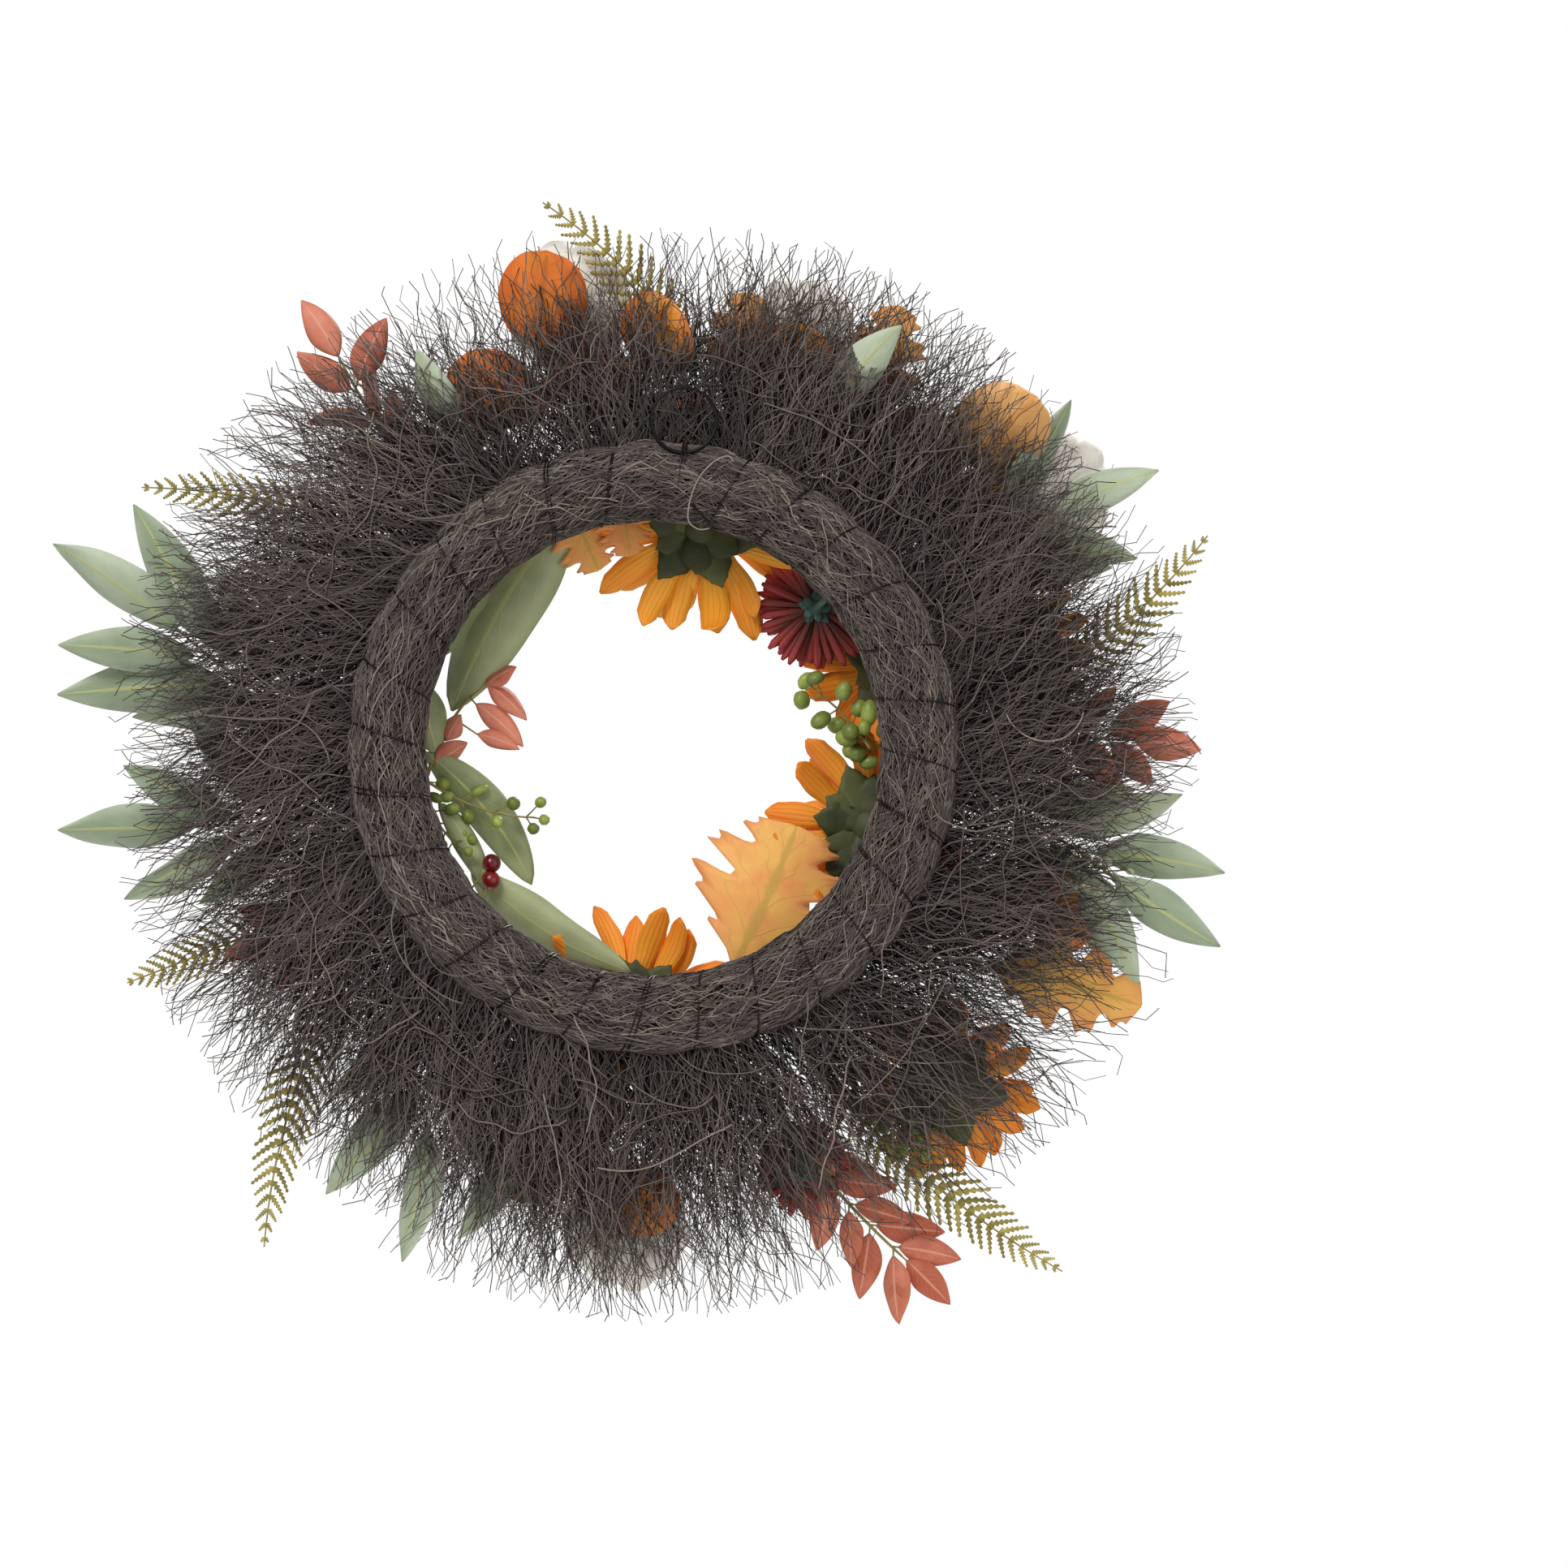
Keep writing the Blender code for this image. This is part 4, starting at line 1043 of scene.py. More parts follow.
def spray(seed, stem, pairs, length, width, spread, shape, curl, **bends):
    """Leaves in pairs along a stem and one at its end, each with its own size, tilt and curl."""
    rng = np.random.default_rng(seed)
    shares = np.repeat((np.arange(pairs) + FIRST_PAIR * pairs) / pairs, 2)
    shares = np.append(np.clip(shares + rng.normal(0, 0.015, 2 * pairs), 0, 0.97), 1.0)
    sides = np.append(np.tile([1, -1], pairs), 0)
    count = len(shares)
    foot, way = leaf_feet(stem, shares, sides * (spread + rng.normal(0, 6, count)))
    way = unit(way + FRONT * rng.normal(0, 0.22, (count, 1)) * LEAF_TILT)
    face = FRONT + rng.normal(0, LEAF_TILT, (count, 3))
    size = rng.uniform(0.86, 1.08, count)
    curl = curl + rng.normal(0, 0.22, count)
    sway = rng.normal(0, 0.16, count)
    leaf_foot = foot + way * length * STALK_SHARE
    grid = strips(leaf_foot, way, face, length * size * (1 - STALK_SHARE), width * size, shape,
                  LEAF_ROWS, curl=curl, sway=sway, phase=rng.uniform(0, 6, count), **bends)
    stalks = stalks_between(foot, leaf_foot + way * 0.002)
    return skin(grid, LEAF_THICKNESS, rng.uniform(0.1, 0.9, count)), stalks


def add_sprig(name, parts, finish, stems, nodes=()):
    """The leaves are one piece, and the stem and stalks are another beside it."""
    points, groups, tones = joined(parts)
    add_piece(name, points, groups, finish, nodes, tones=tones)
    points, groups, tones = joined(stems)
    add_piece(f"{name}_stem", points, groups, STEM, tones=tones)


print(len(SHAPES), "leaf shapes, and oak leaves with", len(OAK_PLACES), "places on their edge")

# %% [markdown]
# ## Every sprig with paired leaves
#
# Sage, rust and round leaves all grow in pairs, so each kind names its finish, its
# slot and how its leaves bend, and one table gives every sprig its place and size. The
# foot's distance is counted from the edge of the bound twigs, where the stem goes in.

# %% Sprigs with paired leaves
# kind: shape, finish, slot, bends
KINDS = {
    "sage": ("sage", SAGE, "sage_leaf", {"cup": 0.5, "fold": 0.10, "ripple": 0.010, "curl": 0.25}),
    "rust": ("rust", RUST, "rust_leaf", {"cup": 0.5, "fold": 0.12, "ripple": 0.012, "curl": 0.2}),
    "round": ("round", ROUND, "round_leaf", {"cup": 0.35, "fold": 0.02, "ripple": 0.020, "curl": 0.1}),
}
KINDS["pale round"] = ("round", PALE, *KINDS["round"][2:])
# name: foot, tip, forward, pairs, leaf length and width, spread, kind, nodes it replaces
SPRIGS = {
    "sage_leaves_1": ((174, 0.03), (167, 0.262), 0.018, 3, 0.098, 0.029, 34, "sage",
                      ["sage_sprig_1"]),
    "sage_leaves_2": ((351, 0.02), (345, 0.256), 0.019, 3, 0.088, 0.027, 34, "sage",
                      ["sage_sprig_2"]),
    "sage_leaves_3": ((232, 0.02), (238, 0.236), 0.018, 2, 0.086, 0.026, 30, "sage",
                      ["sage_sprig_3"]),
    "sage_leaves_4": ((192, 0.02), (190, 0.248), 0.022, 2, 0.086, 0.026, 34, "sage", []),
    "sage_leaves_5": ((32, 0.02), (31, 0.246), 0.019, 2, 0.084, 0.026, 34, "sage", []),
    "sage_leaves_6": ((62, 0.01), (62, 0.205), 0.018, 1, 0.080, 0.024, 30, "sage", []),
    "sage_leaves_7": ((124, 0.01), (123, 0.200), 0.020, 1, 0.072, 0.024, 30, "sage", []),
    "sage_leaves_8": ((254, 0.01), (252, 0.226), 0.020, 1, 0.076, 0.024, 30, "sage", []),
    "rust_leaves_2": ((290, 0.06), (296, 0.312), 0.024, 5, 0.040, 0.017, 42, "rust",
                      ["rust_sprig_2"]),
    "rust_leaves_3": ((132, 0.03), (129, 0.274), 0.024, 3, 0.042, 0.018, 38, "rust", []),
    "rust_leaves_4": ((2, 0.03), (1, 0.262), 0.024, 3, 0.040, 0.018, 38, "rust", []),
    "rust_leaves_5": ((209, 0.02), (207, 0.232), 0.024, 2, 0.038, 0.018, 38, "rust", []),
    "round_leaves_1": ((112, 0.012), (107, 0.226), 0.020, 1, 0.064, 0.052, 34, "round",
                       ["round_leaf_sprig_1"]),
    "round_leaves_2": ((252, 0.038), (264, 0.236), 0.019, 1, 0.048, 0.042, 62, "round",
                       ["round_leaf_sprig_2"]),
    "round_leaves_3": ((41, 0.012), (42, 0.228), 0.022, 1, 0.066, 0.056, 40, "pale round", []),
    "round_leaves_4": ((94, 0.008), (92, 0.206), 0.028, 1, 0.050, 0.046, 55, "round", []),
    "round_leaves_5": ((68, 0.008), (69, 0.206), 0.027, 1, 0.050, 0.044, 55, "round", []),
}


def add_paired_sprig(seed, name, foot, tip, forward, pairs, length, width, spread, kind, nodes):
    """A stem bowed to the front, with its leaves and their stalks."""
    shape, finish, slot, bends = KINDS[kind]
    stem = stem_line((foot[0], BOUND_EDGE + foot[1]), tip, forward, bow=0.006)
    leaves, stalks = spray(seed, stem, pairs, length, width, spread, SHAPES[shape], **bends)
    add_sprig(name, [leaves], finish, [rod(stem, 0.0013, 0.0007)] + stalks, nodes)


for seed, (name, row) in enumerate(SPRIGS.items(), 300):
    add_paired_sprig(seed, name, *row)
print(len(SPRIGS), "sprigs with paired leaves")

# %% [markdown]
# ## Single leaves: magnolia and oak
#
# Some leaves are placed one by one, each from its foot to its tip. The long magnolia
# leaves show in the ring's opening, where they arch along its edge. The oak leaves
# have deep pointed lobes that sweep towards the tip, so their profile has corners and
# the strip is sheared forwards where it is wide.


# %% Single leaves
def placed_leaves(seed, rows, shape, shape_rows, columns=5, tilt=0.25, **bends):
    """Each row is (foot, tip, forward, width, arch): a strip from foot to tip that leaves
    the straight line by its arch, first to one side and back again."""
    rng = np.random.default_rng(seed)
    feet = np.array([ring_places(*row[0], row[2]) for row in rows])
    tips = np.array([ring_places(*row[1], row[2]) for row in rows])
    width = np.array([row[3] for row in rows])
    arch = np.array([row[4] for row in rows])
    reach = np.linalg.norm(tips - feet, axis=1)
    ahead = unit(tips - feet)
    side = np.cross(ahead, FRONT)
    way = ahead * np.cos(arch / 2)[:, None] - side * np.sin(arch / 2)[:, None]
    face = FRONT + rng.normal(0, tilt, (len(rows), 3))
    grid = strips(feet, way, face, reach * 1.02, width, shape, shape_rows, columns, sway=arch,
                  phase=rng.uniform(0, 6, len(rows)), **bends)
    return skin(grid, LEAF_THICKNESS, rng.uniform(0.2, 0.8, len(rows))), feet


INNER_SAGE = leaf_finish("green lance leaf", screen(120, 128, 86), screen(180, 184, 138),
                         screen(170, 174, 106), screen(158, 166, 124), side_veins=6.0, slant=2.4,
                         vein_width=0.04, rough=0.5)
# foot, tip, forward, width, arch
MAGNOLIA_ROWS = (
    ((108, 0.142), (168, 0.118), 0.034, 0.044, 0.35),
    ((181, 0.127), (228.4, 0.1021), 0.036, 0.025, -0.55),
    ((194.1, 0.1229), (220.4, 0.1194), 0.033, 0.014, -0.35),
    ((213, 0.121), (262.8, 0.128), 0.038, 0.028, 0.5),
    ((164, 0.136), (181, 0.119), 0.031, 0.024, 0.1),
    ((133, 0.136), (158, 0.128), 0.031, 0.03, 0.3),
)
leaves, _ = placed_leaves(41, MAGNOLIA_ROWS, SHAPES["magnolia"], LEAF_ROWS, tilt=0.3,
                          cup=0.45, fold=0.12, ripple=0.012, curl=0.25)
spine = stem_line((238, OPENING + 0.008), (118, OPENING + 0.008), 0.031, 40)
add_sprig("magnolia_leaves", [leaves], INNER_SAGE, [rod(spine, 0.0016, 0.0010)],
          ["magnolia_sprig"])

RUST_ROWS = (
    ((159.1, 0.0991), (166.7, 0.0723), 0.037, 0.012, -0.35),
    ((166.0, 0.1019), (179.1, 0.0729), 0.037, 0.013, -0.35),
    ((175.4, 0.0984), (180.2, 0.0749), 0.037, 0.01, -0.35),
    ((177.9, 0.1151), (170.1, 0.1091), 0.037, 0.012, -0.35),
    ((184.5, 0.1216), (178.9, 0.1025), 0.037, 0.014, -0.35),
    ((159.4, 0.0995), (149.3, 0.0894), 0.037, 0.012, -0.35),
)
leaves, feet = placed_leaves(47, RUST_ROWS, SHAPES["rust"], LEAF_ROWS, tilt=0.3, cup=0.5, fold=0.12,
                             ripple=0.012, curl=0.2)
rust_stem = stem_line((186.7, 0.1264), (164.4, 0.106), 0.037, bow=0.003)
nearest = np.argmin(np.linalg.norm(feet[:, None] - rust_stem[None], axis=2), axis=1)
stalks = stalks_between(rust_stem[nearest], feet)
add_sprig("rust_leaves_inner", [leaves], RUST, [rod(rust_stem, 0.0012, 0.0008)] + stalks,
          ["rust_sprig_1"])

OAK_SHAPE = profile(OAK_PLACES, OAK_WIDTHS, OAK_ROWS, smooth=False)
OAK_LEAVES = {
    "oak_leaf_large": ([((290, 0.128), (330.5, 0.0895), 0.033, 0.098, 0.16)], ["oak_leaf_1"]),
    "oak_leaf_right": ([((327, 0.222), (332, 0.304), 0.026, 0.058, -0.15)], ["oak_leaf_2"]),
    "oak_leaf_top": ([((58, 0.215), (61, 0.279), 0.027, 0.050, 0.10)], ["oak_leaf_3"]),
    "oak_leaves_small": ([((78, 0.200), (78, 0.257), 0.027, 0.046, 0.1),
                          ((340, 0.205), (336, 0.262), 0.028, 0.046, 0.1),
                          ((109, 0.142), (107, 0.104), 0.031, 0.040, 0.1),
                          ((98, 0.142), (97, 0.108), 0.033, 0.036, -0.1)], []),
}
for seed, (name, (rows, nodes)) in enumerate(OAK_LEAVES.items()):
    leaves, feet = placed_leaves(60 + seed, rows, OAK_SHAPE, OAK_ROWS, 7, tilt=0.16, cup=0.25,
                                 fold=0.06, ripple=0.008, sweep=0.30, curl=0.12)
    stalks = stalks_between(feet - FRONT * 0.004, feet, 4, (0.0010, 0.0008))
    add_sprig(name, [leaves], OAK, stalks, nodes)
print(len(MAGNOLIA_ROWS), "magnolia leaves,", len(RUST_ROWS), "rust leaves,", len(OAK_LEAVES), "oak pieces")

# %% [markdown]
# ## Ferns
#
# A fern frond is a stem with many narrow side fronds, longest a third of the way up.
# Each side frond is a strip whose width jumps in and out, so that its edge reads as a
# row of tiny leaflets.

# %% Ferns
TEETH = 6
SHORTEST_FROND = 0.003
TEETH_ROWS = np.linspace(0, 1, 2 * TEETH + 1)
TEETH_SHAPE = np.where(np.arange(2 * TEETH + 1) % 2 == 0, 0.36, 1.0) * (1.05 - 0.70 * TEETH_ROWS)
# name: foot, tip, forward, side frond, pairs, nodes it replaces
FRONDS = {
    "fern_top": ((82, 0.205), (101.5, 0.3080), 0.024, 0.022, 17, ["fern_frond_1"]),
    "fern_lower_right": ((297, 0.200), (308, 0.367), 0.024, 0.024, 24, ["fern_frond_2"]),
    "fern_upper_left": ((143, 0.205), (153, 0.318), 0.026, 0.018, 16, []),
    "fern_lower_left": ((216, 0.205), (232, 0.350), 0.024, 0.022, 21, []),
    "fern_right": ((8, 0.205), (21, 0.328), 0.024, 0.021, 18, []),
    "fern_left": ((205, 0.215), (204, 0.319), 0.028, 0.018, 16, []),
}


def add_frond(seed, name, base, tip, forward, length, pairs, nodes):
    """Side fronds in pairs, as long as a sine of their place, that lean further forwards at the tip."""
    rng = np.random.default_rng(seed)
    stem = stem_line(base, tip, forward, 30, bow=0.008)
    share = np.repeat(np.linspace(0.06, 0.97, pairs), 2)
    side = np.tile([1.0, -1.0], pairs)
    foot, way = leaf_feet(stem, share, side * (66 - 22 * share))
    bulge = np.sin(np.pi * np.clip(0.12 + 0.88 * share, 0, 1)) ** 0.8
    size = np.maximum(length * bulge * rng.uniform(0.9, 1.08, 2 * pairs), SHORTEST_FROND)
    grid = strips(foot, way, FRONT + rng.normal(0, 0.25, (2 * pairs, 3)), size, size * 0.13 + 0.0028,
                  TEETH_SHAPE, TEETH_ROWS, 3, curl=rng.normal(0.2, 0.2, 2 * pairs),
                  sway=-side * 0.25, sweep=0.5)
    parts = [skin(grid, 0.0004, rng.uniform(0.2, 0.9, 2 * pairs)), rod(stem, 0.0010, 0.0004)]
    points, groups, tones = joined(parts)
    add_piece(name, points, groups, FERN, nodes, tones=tones)


for seed, (name, row) in enumerate(FRONDS.items(), 80):
    add_frond(seed, name, *row)
print(len(FRONDS), "fern fronds")

# %% [markdown]
# ## Seed buds and berries
#
# These are small ovals on short stalks. An oval is a short tube whose radius follows
# half an ellipse, so one call makes a whole cluster.


# %% Buds and berries
BUD_STALK_RADII = (0.0005, 0.0004)
BERRY_LENGTH = 0.0105
BERRY_RADIUS = 0.0052


def ovals(centres, directions, length, radius, tone, sides=8, steps=9):
    """Tubes whose radius is the square root of 1 minus the square of the place from the middle."""
    place = np.cos(np.linspace(np.pi, 0, steps))
    length = np.broadcast_to(np.asarray(length, float), (len(centres),))
    radius = np.broadcast_to(np.asarray(radius, float), (len(centres),))
    paths = centres[:, None] + unit(directions)[:, None] * (place[:, None] * length[:, None, None] / 2)
    radii = radius[:, None] * np.sqrt(np.maximum(1 - place ** 2, 0.004))
    points, groups = tubes(paths, radii, sides, (0.35, 0.9, 0.26))
    return points, groups, {"tone": np.repeat(tone, steps * sides)}


# name: foot, tip, forward, pairs, bud length and radius, finish, nodes it replaces
BUD_SPRIGS = {
    "bud_sprig_right": ((-0.1, 0.1196), (18.4, 0.0961), 0.033, 4, 0.0150, 0.0056, BUDS, ["berry_sprig"]),
    "bud_sprig_right_low": ((357, 0.134), (363.4, 0.1162), 0.036, 3, 0.0130, 0.0050, BUDS, []),
    "bud_sprig_left": ((186, 0.132), (209.7, 0.077), 0.031, 4, 0.0110, 0.0038, BUDS, []),
    "bud_sprig_left_low": ((188, 0.134), (206, 0.122), 0.031, 6, 0.0100, 0.0036, BUDS, []),
    "pale_bud_sprig": ((338, 0.190), (345, 0.262), 0.022, 16, 0.0095, 0.0030, CREAM_BUDS, []),
    "bud_sprig_lower_right": ((300, 0.190), (303, 0.262), 0.026, 12, 0.0100, 0.0032, BUDS, []),
}


def add_bud_sprig(seed, name, base, tip, forward, pairs, length, radius, finish, nodes):
    """Buds in pairs along a stem and one at its end, each on a stalk and smaller towards the tip."""
    rng = np.random.default_rng(seed)
    stem = stem_line(base, tip, forward, 24, bow=0.004)
    share = np.append(np.repeat(np.linspace(0.10, 0.94, pairs), 2), 1.0)
    spread = np.append(np.tile([52.0, -52.0], pairs), 0.0) + rng.normal(0, 14, len(share))
    foot, way = leaf_feet(stem, share, spread)
    way = unit(way + FRONT * rng.normal(0, 0.55, (len(share), 1)))
    reach = rng.uniform(0.004, 0.009, (len(share), 1))
    size = length * rng.uniform(0.7, 1.1, len(share)) * (1.05 - 0.35 * share)
    centres = foot + way * (reach + size[:, None] / 2)
    thick = radius * rng.uniform(0.8, 1.1, len(share))
    buds = ovals(centres, way, size, thick, rng.uniform(0.1, 0.9, len(share)))
    stalks = stalks_between(foot, foot + way * (reach + 0.001), 3, BUD_STALK_RADII)
    add_sprig(name, [buds], finish, [rod(stem, 0.0009, 0.0005)] + stalks, nodes)


for seed, (name, row) in enumerate(BUD_SPRIGS.items(), 120):
    add_bud_sprig(seed, name, *row)
berry_places = ring_places(np.array([215.3, 218.9]), np.array([0.1101, 0.1161]), 0.032)
berries = ovals(berry_places, np.tile([0.2, 0.3, 1.0], (2, 1)), BERRY_LENGTH, BERRY_RADIUS,
                (0.3, 0.6), 12, 11)
berry_feet = ring_places(np.array([217.8, 221.8]), 0.130, 0.030)
add_sprig("red_berries", [berries], RED, stalks_between(berry_feet, berry_places, 5))
print(len(BUD_SPRIGS), "bud sprigs and two red berries")

# %% [markdown]
# ## Sunflowers
#
# Each sunflower has two rounds of creased fabric petals, a dark domed seed head, and
# on its back a moulded green calyx of pointed sepals with a short stalk, which is the
# side that shows through the ring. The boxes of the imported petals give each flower's
# middle and size. Seeds are placed by the golden angle, as on a real head: each is
# turned 137.5 degrees from the last and moved out by the square root of its number.


# %% Flower finishes
def petal_finish(name, foot, middle, tip, crease_shade_colour, lines=5.0):
    """Three colours from foot to tip, and painted shade in the creases, where a sine across the petal is
    near 0.
    """
    made = Finish(name)
    along, across = made.blade()
    drift = along + (made.noise(50.0) - 0.5) * 0.35 + (made.attribute("tone") - 0.5) * 0.35
    body = drift.ramp((0.04, foot), (0.34, middle), (0.95, tip))
    waves = abs(((across + (made.noise(120.0) - 0.5) * 0.12) * (math.pi * lines / 2)).wave())
    crease_shade = waves.below(0.22, 0.20)
    # Painted shade: the creases are coloured darker.
    colour = (crease_shade * 0.55).between(body, crease_shade_colour)
    threads = made.noise(1500.0, 2.0)
    return made.finish(colour, waves * 0.8 + threads * 0.2, 0.0005, threads * 0.12 + 0.56)


GOLD = petal_finish("golden petal fabric", screen(206, 112, 14), screen(245, 172, 44),
                    screen(240, 152, 34), screen(216, 120, 18))
AMBER = petal_finish("amber petal fabric", screen(200, 92, 10), screen(243, 158, 38),
                     screen(238, 136, 26), screen(206, 100, 16))
WINE = petal_finish("wine petal fabric", screen(58, 28, 18), screen(98, 38, 26), screen(172, 56, 56),
                    screen(58, 20, 16), 2.0)
SEEDS = plant_finish("brown seed pile", screen(40, 24, 16), screen(124, 78, 40), 0.9, 130.0, 0.0004)
TEAL = plant_finish("blue green calyx", screen(52, 84, 74), screen(98, 132, 116), 0.6, 90.0)
print("flower finishes ready")

# %% [markdown]
# ## Putting a sunflower together
#
# The petals leave the middle as rays, a front round over a back round, each bent and
# turned a little so that no two lie alike. The seed head is a dome with the seeds set
# into it, and the calyx is two rounds of sepals over a low cup. The stalk leaves the
# cup and curves into the bound twigs.

# %% Sunflowers
def turned(middle, radii, heights, sides, tone):
    """A turned surface about the front direction: a ring of points at each radius and height."""
    path = middle + np.asarray(heights)[:, None] * FRONT
    points, groups = tubes(path[None], np.asarray(radii, float)[None], sides, (1.0, 0.0, 0.0))
    return points, groups, {"tone": np.full(len(points), tone)}


def rays(count, offset, middle, start, tilt):
    """Places and directions of petals round a middle, tilted forwards from its plane."""
    turn = 2 * np.pi * (np.arange(count) + offset) / count
    out = np.stack([np.cos(turn), np.zeros(count), np.sin(turn)], axis=-1)
    tilt = np.asarray(tilt, float).reshape(-1, 1)
    return middle + out * start, unit(out * np.cos(tilt) + FRONT * np.sin(tilt))


PETAL_ROWS = np.linspace(0, 1, 15)
PETAL_SHAPE = profile((0, 0.25, 0.62, 0.85, 0.95, 1.0), (0.44, 0.68, 1.0, 0.84, 0.52, 0.08), PETAL_ROWS)
SEPAL_SHAPE = profile((0, 0.35, 0.62, 0.82, 0.94, 1.0), (0.62, 0.92, 1.0, 0.58, 0.20, 0.02), PETAL_ROWS)
GOLDEN_ANGLE = math.radians(137.508)
SEED_COUNT = 230
SEED_LENGTH = 0.0042
SEED_RADIUS = 0.0011
PETAL_START = 0.010
FLOWER_PETALS = (14, 12)
CUP_RADII = np.array((0.0022, 0.004, 0.0075, 0.0105, 0.0105))
CUP_HEIGHTS = (0.0, 0.0008, 0.0022, 0.0046, 0.0060)
STALK_END = 0.004


def middle_of(node):
    """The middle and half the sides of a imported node's box."""
    low, high = (np.array(corner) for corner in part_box(node))
    return (low + high) / 2, (high - low) / 2


def add_sunflower(number, finish):
    """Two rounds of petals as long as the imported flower's radius, then its seed head and calyx."""
    rng = np.random.default_rng(500 + number)
    middle, half = middle_of(f"sunflower_petals_{number}")
    radius = float(half[0])
    calyx_back = np.array(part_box(f"sunflower_calyx_{number}")[1])[1]
    parts = []
    for layer, count in enumerate(FLOWER_PETALS):
        foot, way = rays(count, rng.random() + layer * 0.5, middle + FRONT * 0.002 * layer, PETAL_START,
                         0.06 + 0.22 * layer + rng.normal(0, 0.10, count))
        length = (radius - PETAL_START) * (1.02 - 0.12 * layer) * rng.uniform(0.90, 1.04, count)
        width = radius * 0.235 * rng.uniform(0.78, 1.18, count)
        grid = strips(foot, way, FRONT + rng.normal(0, 0.28, (count, 3)), length, width, PETAL_SHAPE,
                      PETAL_ROWS, 9, curl=rng.normal(-0.2, 0.4, count), sway=rng.normal(0, 0.26, count),
                      cup=0.8, ripple=0.016, ripples=1.6, phase=rng.uniform(0, 6, count))
        parts.append(skin(grid, 0.0006, rng.uniform(0.1, 0.9, count)))
    points, groups, tones = joined(parts)
    add_piece(f"sunflower_{number}_petals", points, groups, finish,
              [f"sunflower_petals_{number}"], tones=tones)
    add_seed_head(number)
    sepal = float(middle_of(f"sunflower_calyx_{number}")[1][0])
    add_calyx(f"sunflower_{number}_calyx", middle - FRONT * 0.0022, 6, sepal * 1.1, sepal * 0.68, CALYX,
              calyx_back, [f"sunflower_calyx_{number}"])


def add_seed_head(number):
    """A dome whose radius and height follow a quarter circle, and seeds spaced by the golden angle."""
    middle, half = middle_of(f"sunflower_seed_head_{number}")
    wide, high = float(half[0]) * 1.05, float(half[1]) * 2
    base = middle - FRONT * half[1]
    share = np.linspace(0, 1, 9)
    dome = turned(base, wide * np.cos(share * np.pi / 2 * 0.97),
                  high * 0.75 * np.sin(share * np.pi / 2), 24, 0.1)
    order = np.arange(SEED_COUNT) + 0.5
    out = np.sqrt(order / SEED_COUNT)
    turn = order * GOLDEN_ANGLE
    rise = high * 0.75 * np.sqrt(1 - 0.94 * out ** 2)
    place = base + np.stack([wide * out * np.cos(turn), 0 * out, wide * out * np.sin(turn)], -1)
    place = place + FRONT * rise[:, None]
    point = np.stack([out * np.cos(turn), 0 * out, out * np.sin(turn)], -1) * 0.9 + FRONT
    tone = np.clip(0.15 + 0.9 * np.abs(out - 0.55), 0, 1)
    seeds = ovals(place, point, SEED_LENGTH, SEED_RADIUS, tone, 5, 4)
    points, groups, tones = joined([dome, seeds])
    add_piece(f"sunflower_{number}_seed_head", points, groups, SEEDS,
              [f"sunflower_seed_head_{number}"], tones=tones)


def add_calyx(name, middle, sepals, reach, width, finish, back, nodes, cup=1.0):
    """Pointed sepals in two rounds, a low cup, and a stalk bent into the bound twigs."""
    rng = np.random.default_rng(len(name) * 7 + sepals)
    parts = []
    for layer in range(2):
        foot, way = rays(sepals, 0.5 * layer + rng.random() * 0.2, middle - FRONT * 0.0014 * layer, 0.002,
                         -0.10 - 0.05 * layer + rng.normal(0, 0.05, sepals))
        grid = strips(foot, way, -FRONT + rng.normal(0, 0.08, (sepals, 3)),
                      reach * (1 - 0.22 * layer) * rng.uniform(0.9, 1.08, sepals), width, SEPAL_SHAPE,
                      PETAL_ROWS, 5, curl=-0.12, cup=-0.3, ripple=0.014, phase=rng.uniform(0, 6, sepals))
        parts.append(skin(grid, 0.0007, rng.uniform(0.2, 0.8, sepals)))
    parts.append(turned(middle - FRONT * CUP_HEIGHTS[-1], cup * CUP_RADII, CUP_HEIGHTS, 16, 0.4))
    offset = middle - RING_MIDDLE
    angle = math.degrees(math.atan2(offset[2], -offset[0]))
    out = math.hypot(offset[0], offset[2])
    start = middle - FRONT * 0.0058
    goal = ring_places(angle, np.clip(out, RING_RADIUS - 0.010, RING_RADIUS + 0.045), STALK_END)
    bend = np.linspace(0, 1, 14)[:, None]
    elbow = np.array([start[0], min(back + 0.006, goal[1]), start[2]])
    path = start * (1 - bend) ** 2 + 2 * elbow * bend * (1 - bend) + goal * bend ** 2
    parts.append(rod(path, 0.0022, 0.0016, 8, 0.3))
    points, groups, tones = joined(parts)
    add_piece(name, points, groups, finish, nodes, tones=tones)


SUNFLOWER_COUNT = sum(name.startswith("sunflower_petals_") for name in frame["nodes"])
for number in range(1, SUNFLOWER_COUNT + 1):
    add_sunflower(number, GOLD if number in (1, 5) else AMBER)
print(SUNFLOWER_COUNT, "sunflowers of", sum(FLOWER_PETALS), "petals and", SEED_COUNT, "seeds")

# %% [markdown]
# ## Mums
#
# The wine-red mums are rounds of narrow strap petals. The outer rounds lie flat, the
# inner ones stand up, and the heart is a tuft of short ones.

# %% Mums
STRAP_ROWS = np.linspace(0, 1, 9)
STRAP_SHAPE = profile((0, 0.4, 0.85, 1.0), (0.55, 0.9, 1.0, 0.35), STRAP_ROWS)
# petals, tilt to the front, share of the flower's radius
MUM_ROUNDS = ((40, -0.04, 1.0), (36, 0.18, 0.97), (26, 0.50, 0.84), (18, 0.85, 0.66), (12, 1.25, 0.44))
STRAP_WIDTH = 0.0046


